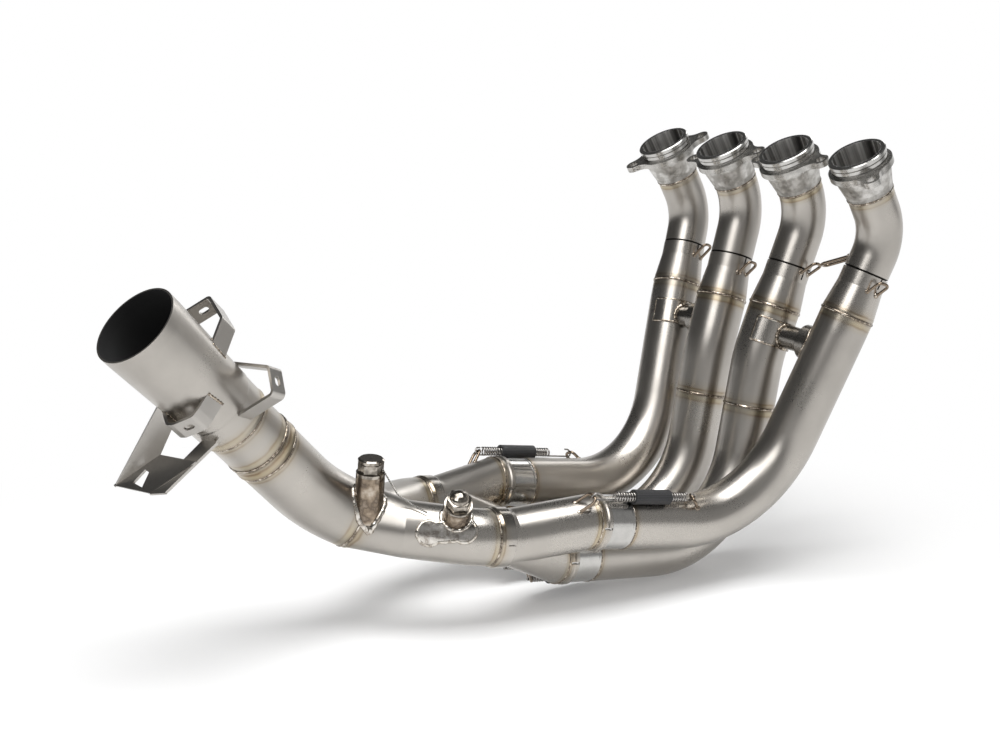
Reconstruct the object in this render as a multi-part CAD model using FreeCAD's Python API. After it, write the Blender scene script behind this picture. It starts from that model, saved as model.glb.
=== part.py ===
import FreeCAD
import Part
import math
import os

# Four-into-two-into-one exhaust header of an inline-four motorcycle, in millimetres.
# X points to the rider's right, Y forward and Z up. The origin lies on the ground,
# under the middle of the header. Cylinders are numbered 1 to 4 from the rider's left.

V = FreeCAD.Vector

# Where the row of exhaust ports lies over the ground
port_across = -4.17
port_forward = 271.53
port_height = 360.38
port_pitch = 80.6
port_tilt = 60.0

# Tube sizes
upper_od = 38.1
lower_od = 44.45
secondary_od = lower_od
final_od = 52.6
mouth_od = 63.4
tube_wall = 1.2
final_wall = 1.4
fit_clearance = 0.25

# Route of an outer primary: cylinder 4 on the right, mirrored for cylinder 1
outer_drop = 76.3
outer_knee = V(106.3, 7.0, -149.3)
outer_heel = V(71.9, -51.8, -313.8)
outer_end = V(68.1, -230.0, -285.5)
outer_radii = [46.0, 150.0, 100.0]

# Route of an inner primary: cylinder 3 on the right, mirrored for cylinder 2
inner_drop = 62.4
inner_knee = V(31.4, -12.6, -178.4)
inner_heel = V(32.0, -45.8, -347.8)
inner_end = V(35.9, -242.9, -321.0)
inner_radii = [53.0, 158.0, 91.0]

# Route of a secondary: the right one, mirrored for the left
secondary_front = V(54.0, -297.5, -290.0)
secondary_elbow = V(51.8, -321.0, -286.8)
secondary_end = V(23.0, -366.0, -280.0)
secondary_radius = 45.0

# Route of the final pipe from inside the merge to the mouth
final_start = V(0.2, -369.5, -281.8)
final_elbow = V(-15.7, -409.9, -269.4)
final_mouth = V(22.5, -572.5, -103.7)
final_radius = 118.0

# Port sleeve: turned nose with lip and grooves, then a cast cone
nose_lip_od = 47.8
nose_lip_length = 3.6
nose_ring_od = 46.8
nose_groove_depth = 1.3
nose_groove_width = 1.2
nose_ring_length = 2.6
nose_length = 10.0
nose_bore = 40.0
nose_chamfer = 0.8
nose_bore_step = 0.6
neck_od = nose_bore + 3.6
cone_top_od = 46.5
cone_rim_length = 2.0
cone_from_port = 37.0

# Loose two-ear flange
flange_thickness = 5.0
flange_hub_od = 53.0
flange_bolt_circle = 68.0
flange_bolt_hole = 8.5
flange_ear_radius = 7.0
flange_waist_radius = 14.0
flange_play = 1.0
flange_turns = {1: 55.0, 2: 16.0, 3: 5.0, 4: -35.0}

# Slip joint between the upper bend and the lower primary
slip_from_port = 110.0
slip_insert = 18.0
slip_gap = 1.0
slip_socket_wall = 1.2
slip_socket_lip = 0.3
slip_straight = 12.0
slip_cone = 26.0
slip_slot_width = 1.6
slip_slot_length = 9.0
slip_draw_in = 0.6
slip_rim = 3.0
slip_bore_cone = 6.0

# Slip joint between the lower primary and the collector
spigot_length = 24.0
spigot_insert = 8.5
spigot_groove = 1.2
spigot_step = 1.2
spigot_rim = 2.0
spigot_relief = 0.25
inlet_lip_od = lower_od + 2.15
inlet_play = 0.6
inlet_lip_length = 3.0
inlet_straight = 9.0
inlet_from_port_outer = 482.0
inlet_from_port_inner = 511.5
inlet_slot_width = 2.0
inlet_slot_length = 7.0

# Slip joint between the collector and the secondary
band_od = secondary_od + 2.75
band_cone = 3.0
band_length = 12.5
band_insert = 10.5

# Merge, joint ring and outlet, as distances along the final pipe
merge_outlet_at = 30.0
merge_ring_length = 4.0
merge_depths = (1.5, 2.5)
merge_step = 0.15
joint_ring_at = 126.5
joint_ring_length = 11.0
joint_ring_bead = 1.5
joint_ring_valley = 3.2
joint_ring_lift = 0.2
joint_ring_od = final_od + 1.4
outlet_weld_at = 166.0
outlet_collar_od = final_od + 3.2
outlet_step_length = 21.5
outlet_step_height = 0.5
outlet_bead_rise = 0.5
outlet_bead_at = 1.5
outlet_collar_at = 3.5
outlet_collar_swell = 0.4
outlet_cone_length = 102.0

# Balance pipe between the two primaries of each side
balance_from_port_inner = 170.0
balance_from_port_outer = 179.0
balance_od = 20.6
balance_wall = 1.5
balance_collar_od = 30.0
balance_collar_length = 7.0
balance_end_gap = 3.2
balance_chamfer = 1.5
saddle_width = 21.0
saddle_wall = 1.2
saddle_half_wrap = 80.0

# Sensor bosses and their plugs
boss_od = 22.0
boss_bore = 16.2
boss_height = 13.0
boss_pad_thickness = 1.5
boss_pad_lobes = [(33.5, 62.0), (58.5, 75.0)]
boss_pad_lobe_od = 17.0
boss_pad_bridge = 13.0
plug_seat_od = 22.0
plug_seat_thickness = 2.4
plug_across_flats = 17.0
plug_hex_height = 7.0
flat_crown = [(9.0, 0.0), (10.0, 1.0), (10.0, 3.0), (8.8, 4.0), (0.0, 4.0)]
domed_crown = [(7.5, 0.0), (7.0, 2.0), (5.4, 3.5), (3.0, 4.5), (0.0, 4.9)]
plug_stem_length = 9.0
front_boss_at = 40.0
front_boss_lean = 35.0
boss_sink = 14.0
front_bore_depth = 10.0
rear_bore_depth = 12.0
rear_bore_length = 30.0
rear_boss_foot = V(14.3, -392.4, -257.4)
rear_boss_axis = V(0.12, 0.0, 0.993)
rear_boss_height = 23.0

# Springs with rubber sleeves, hooked over wire anchors
spring_od = 8.4
spring_wire = 1.7
spring_length = 72.0
spring_show = 17.0
sleeve_od = 12.0
sleeve_length = 37.0
sleeve_clearance = 0.1
sleeve_chamfer = 0.6
spring_lift = 6.4
upper_spring_turn = 32.0
lower_spring_turn = 142.0
spring_ahead = {1: 25.0, 2: 20.0, 3: 20.0, 4: 40.0}
anchor_wire = 2.6
anchor_half_width = 5.0
anchor_behind_inlet = 17.0
anchor_before_inlet = 84.0
anchor_reach_behind = 5.0
anchor_reach_before = 6.0
anchor_root_behind = 12.0
anchor_root_before = 5.0
anchor_skin_behind = 40.0
hook_play = 0.1

# Wire loops on the slip sockets: distance after the joint and turn to the tube's right
slip_hooks = {1: (12.0, 74.0), 2: (16.0, 80.0), 3: (4.0, 108.0), 4: (15.0, 103.0)}
slip_hook_rise = 10.0
slip_hook_reach = 12.0
bend_hook_before = 13.0
bend_hook_turn = -45.0
bend_hook_rise = 19.0
bend_hook_reach = -20.0
slip_hook_root = 4.0
slip_hook_heel = 3.0

# Folded brackets on the outlet, placed in its own frame: distance along the final
# pipe, height over its axis and distance to the rider's left of it
strap_thickness = 2.2
strap_fold_radius = 3.5
fold_share = 0.49
narrow_strap_width = 15.0
top_strap_at = 231.5
top_strap = [(8.0, 29.0), (30.0, 36.0), (43.8, 30.5), (58.4, 17.5), (43.6, -10.6), (22.0, -19.0)]
lower_strap_at = 216.8
lower_strap = [(-22.0, 14.0), (-37.5, -9.2), (-36.3, -15.0), (-27.1, -27.9), (-20.3, -28.3), (-6.0, -27.0)]
front_strap_twist = 22.6
front_strap = [V(198.5, 27.5, -3.0), V(198.9, 30.6, -44.0), V(192.3, 15.0, -56.4), V(184.4, -6.0, -24.0)]
stand_base = [V(180.7, -79.3, 52.5), V(176.8, -75.1, 16.4), V(179.4, -43.6, -10.6), V(183.2, -48.0, 25.2)]
stand_left_top = [V(224.6, -26.0, 0.5), V(205.0, -25.0, 3.5)]
stand_right_top = [V(178.9, -26.0, -17.4), V(181.9, -22.0, -4.3)]
stand_right_edge = V(176.9, -71.0, 2.2)
stand_slot = [V(179.9, -72.5, 36.4), V(181.4, -61.1, 31.2), V(180.6, -62.0, 26.3), V(178.4, -73.3, 26.1)]
strap_slot_length = 8.0
strap_slot_width = 4.5
strap_cut_depth = 8.0
front_strap_narrower = 3.5
outlet_skin_ahead = 60.0

# Locking wire from the rear plug to the front boss
lock_wire_od = 1.6
lock_wire_radius = 6.0
lock_wire_route = [
    V(23.5, -386.0, -229.0), V(28.0, -375.0, -250.5), V(35.0, -366.6, -258.0), V(45.0, -359.6, -262.8)]


def at_port_line(point):
    """Move a point given from the middle of the port row into the header's frame."""
    return V(point.x + port_across, point.y + port_forward, point.z + port_height)


def mirrored(point):
    return V(-point.x, point.y, point.z)


class Route:
    """A centreline of straight runs joined by tangent arcs."""

    def __init__(self, corners, radii):
        self.runs = []
        self.length = 0.0
        start = corners[0]
        for i in range(1, len(corners)):
            along = (corners[i] - start).normalize()
            reach = (corners[i] - start).Length
            if i == len(corners) - 1:
                self.add_straight(start, along, reach)
                break
            onward = (corners[i + 1] - corners[i]).normalize()
            turn = along.getAngle(onward)
            radius = radii[i - 1]
            trim = radius * math.tan(turn / 2)
            self.add_straight(start, along, reach - trim)
            begin = corners[i] - along * trim
            axis = along.cross(onward).normalize()
            centre = begin + axis.cross(along).normalize() * radius
            self.runs.append(("arc", begin, along, radius * turn, centre, axis, radius))
            self.length += radius * turn
            start = corners[i] + onward * trim

    def add_straight(self, start, along, length):
        if length > 0.01:
            self.runs.append(("line", start, along, length, None, None, 0.0))
            self.length += length

    def locate(self, distance):
        """Point and direction at a distance along the centreline, past its end too."""
        left = distance
        for run in self.runs:
            last = run is self.runs[-1]
            if left <= run[3] or last:
                return self.on_run(run, left)
            left -= run[3]

    def on_run(self, run, left):
        kind, start, along, length, centre, axis, radius = run
        if kind == "line":
            return start + along * left, V(along)
        swing = FreeCAD.Rotation(axis, math.degrees(left / radius))
        return centre + swing.multVec(start - centre), swing.multVec(along)

    def spans(self, begin, end):
        """The stretches of each run that lie between two distances."""
        passed = 0.0
        found = []
        for run in self.runs:
            last = run is self.runs[-1]
            low = max(begin, passed)
            high = end if last else min(end, passed + run[3])
            if high - low > 0.01:
                found.append((run, low - passed, high - passed))
            passed += run[3]
        return found


def line_of(route, begin, end):
    """The centreline between two distances of a route, as lines and arcs."""
    edges = []
    for run, low, high in route.spans(begin, end):
        start = route.on_run(run, low)[0]
        stop = route.on_run(run, high)[0]
        if run[0] == "line":
            edges.append(Part.makeLine(start, stop))
        else:
            halfway = route.on_run(run, (low + high) / 2)[0]
            edges.append(Part.Arc(start, halfway, stop).toShape())
    return Part.Wire(edges)


def bar(route, begin, end, radius):
    """A solid round bar between two distances of a route."""
    point, along = route.locate(begin)
    rim = Part.Wire(Part.Circle(point, along, radius).toShape())
    return line_of(route, begin, end).makePipeShell([rim], True, True)


def pipe(route, begin, end, outer, inner):
    """A round pipe between two distances of a route."""
    return as_solid(bar(route, begin, end, outer).cut(bar(route, begin, end, inner)))


def as_solid(shape):
    if shape.ShapeType == "Solid" or len(shape.Solids) != 1:
        return shape
    return shape.Solids[0]


def frame_at(point, along, up=None):
    """Placement whose Z runs along a direction and whose X leans to a chosen side."""
    z = V(along).normalize()
    side = V(up) if up is not None else V(0, 0, 1)
    x = side - z * side.dot(z)
    if x.Length < 1e-6:
        x = V(1, 0, 0) - z * z.x
    x.normalize()
    y = z.cross(x)
    return FreeCAD.Placement(FreeCAD.Matrix(
        x.x, y.x, z.x, point.x,
        x.y, y.y, z.y, point.y,
        x.z, y.z, z.z, point.z,
        0, 0, 0, 1))


def turned(profile, place):
    """Revolve a closed outline of (radius, along) points about the local Z axis."""
    points = [V(radius, 0, along) for radius, along in profile]
    face = Part.Face(Part.makePolygon(points + [points[0]]))
    solid = face.revolve(V(0, 0, 0), V(0, 0, 1), 360)
    solid.Placement = place
    return as_solid(solid)


def block(length, width, height, place):
    """A box centred in X and Y and standing on the local XY plane."""
    box = Part.makeBox(length, width, height, V(-length / 2, -width / 2, 0))
    box.Placement = place
    return box


def shifted(place, along=0.0, turn=0.0):
    """A placement moved along its own Z and turned about it."""
    return place.multiply(FreeCAD.Placement(V(0, 0, along), FreeCAD.Rotation(V(0, 0, 1), turn)))


def inlet_station(number):
    """Distance along a primary to the collector's front edge."""
    return inlet_from_port_outer if number in (1, 4) else inlet_from_port_inner


def primary_route(number):
    """Centreline of one primary, from its port to its end inside the collector."""
    outer = number in (1, 4)
    across = port_pitch * (1.5 if outer else 0.5)
    tilt = math.radians(port_tilt)
    drop = outer_drop if outer else inner_drop
    first = V(across, drop * math.cos(tilt), -drop * math.sin(tilt))
    rest = [outer_knee, outer_heel, outer_end] if outer else [inner_knee, inner_heel, inner_end]
    corners = [V(across, 0, 0), first] + rest
    if number in (1, 2):
        corners = [mirrored(point) for point in corners]
    return Route([at_port_line(point) for point in corners], outer_radii if outer else inner_radii)


def secondary_route(side):
    corners = [secondary_front, secondary_elbow, secondary_end]
    if side == "left":
        corners = [mirrored(point) for point in corners]
    return Route([at_port_line(point) for point in corners], [secondary_radius])


def final_route():
    corners = [at_port_line(p) for p in (final_start, final_elbow, final_mouth)]
    return Route(corners, [final_radius])


primaries = {number: primary_route(number) for number in (1, 2, 3, 4)}
secondaries = {side: secondary_route(side) for side in ("left", "right")}
final = final_route()
sides = {"left": (1, 2), "right": (4, 3)}
rear_foot = at_port_line(rear_boss_foot)
collector_skins = {}
merge_skins = []
neck_length = flange_thickness + flange_play
sleeve_total = cone_from_port
socket_id = upper_od - 2 * slip_socket_wall
lower_id = lower_od - 2 * tube_wall
inlet_id = lower_od - 2 * tube_wall + inlet_play
spigot_male_od = inlet_id - 2 * fit_clearance


def port_sleeve(number):
    """Turned nose that seats in the engine's port, with the cast cone under it."""
    point, along = primaries[number].locate(0)
    lip = nose_lip_od / 2
    ring = nose_ring_od / 2
    groove = ring - nose_groove_depth
    neck = neck_od / 2
    bore = nose_bore / 2
    first = nose_lip_length
    second = first + nose_groove_width
    third = second + nose_ring_length
    fourth = third + nose_groove_width
    shoulder = nose_length + neck_length
    outline = [
        (bore, 0), (lip - nose_chamfer, 0), (lip, nose_chamfer), (lip, first),
        (groove, first), (groove, second),
        (ring, second), (ring, third), (groove, third), (groove, fourth), (ring, fourth),
        (ring, nose_length), (neck, nose_length), (neck, shoulder), (cone_top_od / 2, shoulder),
        (cone_top_od / 2, shoulder + cone_rim_length), (upper_od / 2, sleeve_total),
        (upper_od / 2 - tube_wall, sleeve_total), (bore - nose_bore_step, shoulder)]
    return turned(outline, frame_at(point, along))


def port_flange(number):
    """Loose flange with two bolt ears, held behind the nose."""
    point, along = primaries[number].locate(nose_length)
    place = frame_at(point, along, V(1, 0, 0))
    ear_at = flange_bolt_circle / 2
    hub = flange_hub_od / 2
    ear = flange_ear_radius
    waist = flange_waist_radius
    waist_x = (ear_at ** 2 + (hub + waist) ** 2 - (ear + waist) ** 2) / (2 * ear_at)
    waist_y = math.sqrt((hub + waist) ** 2 - waist_x ** 2)
    body = Part.makeCylinder(hub, flange_thickness)
    for sign in (1, -1):
        tip = Part.makeCylinder(ear, flange_thickness, V(sign * ear_at, 0, 0))
        web = Part.Face(Part.makePolygon([
            V(0, 0, 0), V(sign * waist_x, waist_y, 0), V(sign * ear_at, 0, 0), V(sign * waist_x, -waist_y, 0),
            V(0, 0, 0)])).extrude(V(0, 0, flange_thickness))
        for side in (1, -1):
            web = web.cut(Part.makeCylinder(waist, flange_thickness, V(sign * waist_x, side * waist_y, 0)))
        body = body.fuse(tip).fuse(web)
    for sign in (1, -1):
        body = body.cut(Part.makeCylinder(flange_bolt_hole / 2, flange_thickness, V(sign * ear_at, 0, 0)))
    body = body.cut(Part.makeCylinder(neck_od / 2 + fit_clearance, flange_thickness))
    body = body.removeSplitter()
    body.Placement = shifted(place, 0, -flange_turns[number])
    return as_solid(body)


def upper_bend(number):
    """Bend from the cast cone to the slip joint, with its end drawn in to enter the socket."""
    route = primaries[number]
    shoulder_at = slip_from_port - slip_gap
    bend = pipe(route, sleeve_total, shoulder_at, upper_od / 2, upper_od / 2 - tube_wall)
    point, along = route.locate(shoulder_at)
    outer = socket_id / 2 - fit_clearance
    end = slip_gap + slip_insert
    outline = [
        (outer - tube_wall, 0), (upper_od / 2, 0), (outer, slip_draw_in), (outer, end),
        (outer - tube_wall, end)]
    male = turned(outline, frame_at(point, along))
    return as_solid(bend.fuse(male).removeSplitter())


def slip_socket(number):
    """Socket with two relief slots, widening to the lower primary."""
    point, along = primaries[number].locate(slip_from_port)
    end = slip_straight + slip_cone
    rim = socket_id / 2 + slip_socket_wall + slip_socket_lip
    outline = [
        (socket_id / 2, 0), (rim, 0), (rim, slip_straight),
        (lower_od / 2, end - slip_rim), (lower_od / 2, end), (lower_id / 2, end),
        (lower_id / 2, end - slip_rim), (socket_id / 2, slip_straight + slip_bore_cone)]
    place = frame_at(point, along, V(1, 0, 0))
    body = turned(outline, place)
    slot = block(lower_od, slip_slot_width, slip_slot_length, place)
    return as_solid(body.cut(slot))


def lower_primary(number):
    """Lower bend of a primary, from the slip socket to its spigot."""
    route = primaries[number]
    begin = slip_from_port + slip_straight + slip_cone
    end = inlet_station(number) - spigot_length
    tube = pipe(route, begin, end, lower_od / 2, lower_id / 2)
    side = "left" if number in (1, 2) else "right"
    start, across, reach = balance_axis(side)
    bore = balance_od / 2 - balance_wall
    if number in (2, 4):
        start, across = start + across * reach, -across
    return as_solid(tube.cut(Part.makeCylinder(bore, lower_od, start, across)))


def collector_spigot(number):
    """Turned end of a primary that slides into the collector."""
    route = primaries[number]
    point, along = route.locate(inlet_station(number) - spigot_length)
    outer = lower_od / 2
    male = spigot_male_od / 2
    shoulder = spigot_length - spigot_groove
    end = spigot_length + spigot_insert
    outline = [
        (lower_id / 2 - spigot_step, end), (lower_id / 2 - spigot_step, spigot_rim), (lower_id / 2, 0),
        (outer, 0), (outer, spigot_rim), (outer - spigot_relief, spigot_rim + 1),
        (outer - spigot_relief, shoulder), (male, shoulder), (male, end)]
    return turned(outline, frame_at(point, along))


def rim_at(spot, radius):
    """A circle square to the route at a spot, its seam on top."""
    rim = Part.Wire(Part.makeCircle(radius))
    rim.Placement = frame_at(spot[0], spot[1])
    return rim


def joined(begin, end, begin_radius, end_radius):
    """A smooth skin between two circles, each given by point and direction."""
    return Part.makeLoft([rim_at(begin, begin_radius), rim_at(end, end_radius)], True, False)


def two_into_one(inlets, outlet, inlet_radius, outlet_radius, wall):
    """Two tubes that run together into one short ring, hollow right through."""
    point, along = outlet
    ring_back = (point - along * merge_ring_length, along)
    skins = [bar_between(ring_back[0], point, outlet_radius)]
    cores = [bar_between(ring_back[0], point, outlet_radius - wall)]
    for inlet, depth in zip(inlets, merge_depths):
        inner_end = (ring_back[0] + along * depth, along)
        end_radius = outlet_radius - merge_step
        skins.append(joined(inlet, inner_end, inlet_radius, end_radius))
        cores.append(joined(inlet, inner_end, inlet_radius - wall, end_radius - wall))
    return skins[0].multiFuse(skins[1:]), cores[0].multiFuse(cores[1:])


def bar_between(start, stop, radius):
    return Part.makeCylinder(radius, (stop - start).Length, start, stop - start)


def collector(side):
    """Two-into-one collector with a socket for each primary and a male outlet."""
    route = secondaries[side]
    band_point, band_along = route.locate(0)
    outlet = (band_point - band_along * 1.0, band_along)
    inlets = []
    rings = []
    for number in sides[side]:
        primary = primaries[number]
        front, along = primary.locate(inlet_station(number))
        inlets.append((front + along * inlet_straight, along))
        lip = inlet_lip_od / 2
        skin = lower_od / 2
        bore = inlet_id / 2
        outline = [
            (bore, 0), (lip, 0), (lip, inlet_lip_length), (skin, inlet_lip_length + 1.0),
            (skin, inlet_straight), (bore, inlet_straight)]
        place = frame_at(front, along, V(1, 0, 0))
        ring = turned(outline, place)
        slot = block(lip * 2.2, inlet_slot_width, inlet_slot_length, place)
        rings.append(ring.cut(slot))
    wall = lower_od / 2 - inlet_id / 2
    outside, inside = two_into_one(inlets, outlet, lower_od / 2, secondary_od / 2, wall)
    collector_skins[side] = outside
    body = outside.cut(inside)
    male_outer = band_od / 2 - tube_wall - fit_clearance
    male = turned([
        (secondary_od / 2 - wall, 0), (male_outer, 0), (male_outer, band_insert),
        (secondary_od / 2 - wall, band_insert)], frame_at(outlet[0], band_along))
    for ring in rings + [male]:
        body = body.fuse(ring)
    return as_solid(body.removeSplitter())


def secondary_band(side):
    """Socket ring that receives the collector, welded to the secondary."""
    point, along = secondaries[side].locate(0)
    outer = band_od / 2
    bore = outer - tube_wall
    outline = [
        (bore, 0), (outer, 0), (outer, band_length - band_cone), (secondary_od / 2, band_length),
        (secondary_od / 2 - tube_wall, band_length), (bore, band_length - band_cone + 0.5)]
    place = frame_at(point, along, V(1, 0, 0))
    ring = turned(outline, place)
    return as_solid(ring.cut(block(band_od * 1.1, inlet_slot_width, inlet_slot_length, place)))


def secondary_pipe(side):
    route = secondaries[side]
    tube = pipe(route, band_length, route.length, secondary_od / 2, secondary_od / 2 - tube_wall)
    if side == "right":
        foot, outward = front_boss_place()
        bottom = foot - outward * front_bore_depth
        tube = as_solid(tube.cut(Part.makeCylinder(boss_bore / 2, secondary_od / 2, bottom, outward)))
    return tube


def merge_collector():
    """Second two-into-one, from the secondaries to the final pipe."""
    outlet = final.locate(merge_outlet_at)
    inlets = [secondaries[side].locate(secondaries[side].length) for side in ("left", "right")]
    outside, inside = two_into_one(inlets, outlet, secondary_od / 2, final_od / 2, tube_wall)
    merge_skins.append(outside)
    body = outside.cut(inside)
    bottom = rear_foot - rear_boss_axis * rear_bore_depth
    bore = Part.makeCylinder(boss_bore / 2, rear_bore_length, bottom, rear_boss_axis)
    return as_solid(body.cut(bore).removeSplitter())


def final_bend():
    return pipe(final, merge_outlet_at, joint_ring_at, final_od / 2, final_od / 2 - final_wall)


def joint_ring():
    """Short ring between the two close welds of the final pipe."""
    point, along = final.locate(joint_ring_at)
    skin = final_od / 2
    crown = joint_ring_od / 2
    bore = skin - final_wall
    length = joint_ring_length
    outline = [
        (bore, 0), (skin, 0), (crown, joint_ring_bead), (skin + joint_ring_lift, joint_ring_valley),
        (skin + joint_ring_lift, length - joint_ring_valley), (crown, length - joint_ring_bead),
        (skin, length), (bore, length)]
    return turned(outline, frame_at(point, along))


def outlet_pipe():
    begin = joint_ring_at + joint_ring_length
    return pipe(final, begin, outlet_weld_at, final_od / 2, final_od / 2 - final_wall)


def outlet_mouth():
    """Flared outlet that takes the silencer, with a bead where it is welded on."""
    point, along = final.locate(outlet_weld_at)
    wide = mouth_od / 2
    collar = outlet_collar_od / 2
    wall = final_wall
    bore = [
        (wide - wall, final.length - outlet_weld_at), (wide - wall, outlet_cone_length),
        (collar + outlet_collar_swell - wall, outlet_step_length), (collar - wall, outlet_collar_at + 1)]
    return turned([(final_od / 2 - wall, 0)] + outlet_outline() + bore, frame_at(point, along))


def outlet_outline():
    """Outside of the flared outlet as (radius, along), from its weld to its mouth."""
    collar = outlet_collar_od / 2
    swollen = collar + outlet_collar_swell
    return [
        (final_od / 2, 0), (collar + outlet_bead_rise, outlet_bead_at), (collar, outlet_collar_at),
        (swollen, outlet_step_length - 1), (swollen + outlet_step_height, outlet_step_length + 1),
        (mouth_od / 2, outlet_cone_length), (mouth_od / 2, final.length - outlet_weld_at)]


def balance_axis(side):
    """Start, direction and length between the centres of the two tubes of one side."""
    first, second = (1, 2) if side == "left" else (3, 4)
    start = primaries[first].locate(balance_station(first))[0]
    stop = primaries[second].locate(balance_station(second))[0]
    return start, (stop - start).normalize(), (stop - start).Length


def balance_station(number):
    return balance_from_port_outer if number in (1, 4) else balance_from_port_inner


def tube_core(number, margin=0.0, length=60.0):
    """The space a lower primary fills around its balance pipe."""
    middle = balance_station(number)
    return bar(primaries[number], middle - length / 2, middle + length / 2, lower_od / 2 + margin)


def balance_pipe(side):
    """Cross pipe, welded to the saddle at one end and free in the collar at the other."""
    first = 1 if side == "left" else 3
    start, across, reach = balance_axis(side)
    length = reach - lower_od / 2 - balance_end_gap
    outer = Part.makeCylinder(balance_od / 2, length, start, across)
    inner = Part.makeCylinder(balance_od / 2 - balance_wall, length, start, across)
    return biggest(outer.cut(inner).cut(tube_core(first, saddle_wall)))


def balance_collar(side):
    """Socket ring on the second tube, in which the cross pipe can slide."""
    second = 2 if side == "left" else 4
    start, across, reach = balance_axis(side)
    far = start + across * reach
    place = frame_at(far, -across)
    length = lower_od / 2 + balance_collar_length
    bore = balance_od / 2 + fit_clearance
    crown = balance_collar_od / 2
    ring = turned([
        (bore, 0), (crown, 0), (crown, length - balance_chamfer), (crown - balance_chamfer, length),
        (bore, length)], place)
    return biggest(ring.cut(tube_core(second)))


def balance_saddle(side):
    """Thin reinforcing sheet wrapped round the first tube."""
    number = 1 if side == "left" else 3
    route = primaries[number]
    start, across, reach = balance_axis(side)
    middle = balance_station(number)
    shell = bar(route, middle - saddle_width / 2, middle + saddle_width / 2, lower_od / 2 + saddle_wall)
    shell = shell.cut(tube_core(number))
    point, along = route.locate(middle)
    bottom = V(0, 0, -saddle_width)
    keep = Part.makeCylinder(lower_od, saddle_width * 2, bottom, V(0, 0, 1), 2 * saddle_half_wrap)
    keep.Placement = shifted(frame_at(point, along, across), 0, -saddle_half_wrap)
    bore = Part.makeCylinder(balance_od / 2 - balance_wall, lower_od, start, across)
    return biggest(shell.common(keep).cut(bore))


def biggest(shape):
    return max(shape.Solids, key=lambda solid: solid.Volume)


def on_secondary(distance, lean):
    """Point on the right secondary's skin, leaned outward from its top, and the way out there."""
    point, along = secondaries["right"].locate(distance)
    place = shifted(frame_at(point, along), 0, -lean)
    outward = place.Rotation.multVec(V(1, 0, 0))
    return point + outward * secondary_od / 2, outward


def front_boss_place():
    return on_secondary(front_boss_at, front_boss_lean)


def sensor_boss(foot, outward, height, skins):
    """Threaded boss whose foot is cut to the skins of the pipes under it."""
    post = Part.makeCylinder(boss_od / 2, height + boss_sink, foot - outward * boss_sink, outward)
    bore = Part.makeCylinder(boss_bore / 2, height + boss_sink, foot - outward * boss_sink, outward)
    post = post.cut(bore)
    for skin in skins:
        post = biggest(post.cut(skin))
    return post


def lobed_boss(foot, outward, height, skin, pad_skin):
    """Boss joined to a thin two-lobed pad that is welded on the pipe's side, below it."""
    start = foot - outward * boss_sink
    post = Part.makeCylinder(boss_od / 2, height + boss_sink, start, outward)
    spots = [on_secondary(distance, lean) for distance, lean in boss_pad_lobes]
    lobes = [
        Part.makeCylinder(boss_pad_lobe_od / 2, 2 * boss_sink, spot - out * boss_sink, out)
        for spot, out in spots]
    across = spots[1][0] - spots[0][0]
    way_out = (spots[0][1] + spots[1][1]).normalize()
    middle = (spots[0][0] + spots[1][0]) * 0.5 - way_out * boss_sink
    bridge = block(across.Length, boss_pad_bridge, 2 * boss_sink, frame_at(middle, way_out, across))
    pad = lobes[0].multiFuse([lobes[1], bridge]).common(pad_skin)
    bore = Part.makeCylinder(boss_bore / 2, height + 2 * boss_sink, start, outward)
    return biggest(post.fuse(pad).cut(bore).cut(skin))


def sensor_plug(foot, outward, height, crown):
    """Plug whose seat rests on the boss, with a hexagon under a round crown of given points."""
    place = frame_at(foot + outward * height, outward)
    seat = plug_seat_thickness
    stem = boss_bore / 2 - fit_clearance
    top = seat + plug_hex_height
    head = Part.makePolygon([
        V(plug_across_flats / math.sqrt(3) * math.cos(math.radians(60 * i)),
          plug_across_flats / math.sqrt(3) * math.sin(math.radians(60 * i)), seat) for i in range(7)])
    hexagon = Part.Face(head).extrude(V(0, 0, plug_hex_height))
    hexagon.Placement = place
    body = turned([
        (0, -plug_stem_length), (stem - 1, -plug_stem_length), (stem, 1 - plug_stem_length), (stem, 0),
        (plug_seat_od / 2, 0), (plug_seat_od / 2, seat), (0, seat)], place)
    lid = turned([(0, top)] + [(radius, top + rise) for radius, rise in crown], place)
    return as_solid(body.multiFuse([hexagon, lid]).removeSplitter())


def spring_frame(number):
    """Placement of a spring: Z along its tube toward the outlet, X away from the tube."""
    route = primaries[number]
    outer = number in (1, 4)
    turn = upper_spring_turn if outer else lower_spring_turn
    sign = {1: 1, 2: -1, 3: 1, 4: -1}[number]
    point, along = route.locate(inlet_station(number) - spring_ahead[number])
    place = shifted(frame_at(point, along), 0, sign * turn)
    lift = lower_od / 2 + spring_lift
    return place.multiply(FreeCAD.Placement(V(lift, 0, 0), FreeCAD.Rotation()))


def anchor_centre(number, behind):
    """Local distance from a spring's middle to the crossbar of one of its anchors."""
    if behind:
        return spring_ahead[number] + anchor_behind_inlet
    return spring_ahead[number] - anchor_before_inlet


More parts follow.
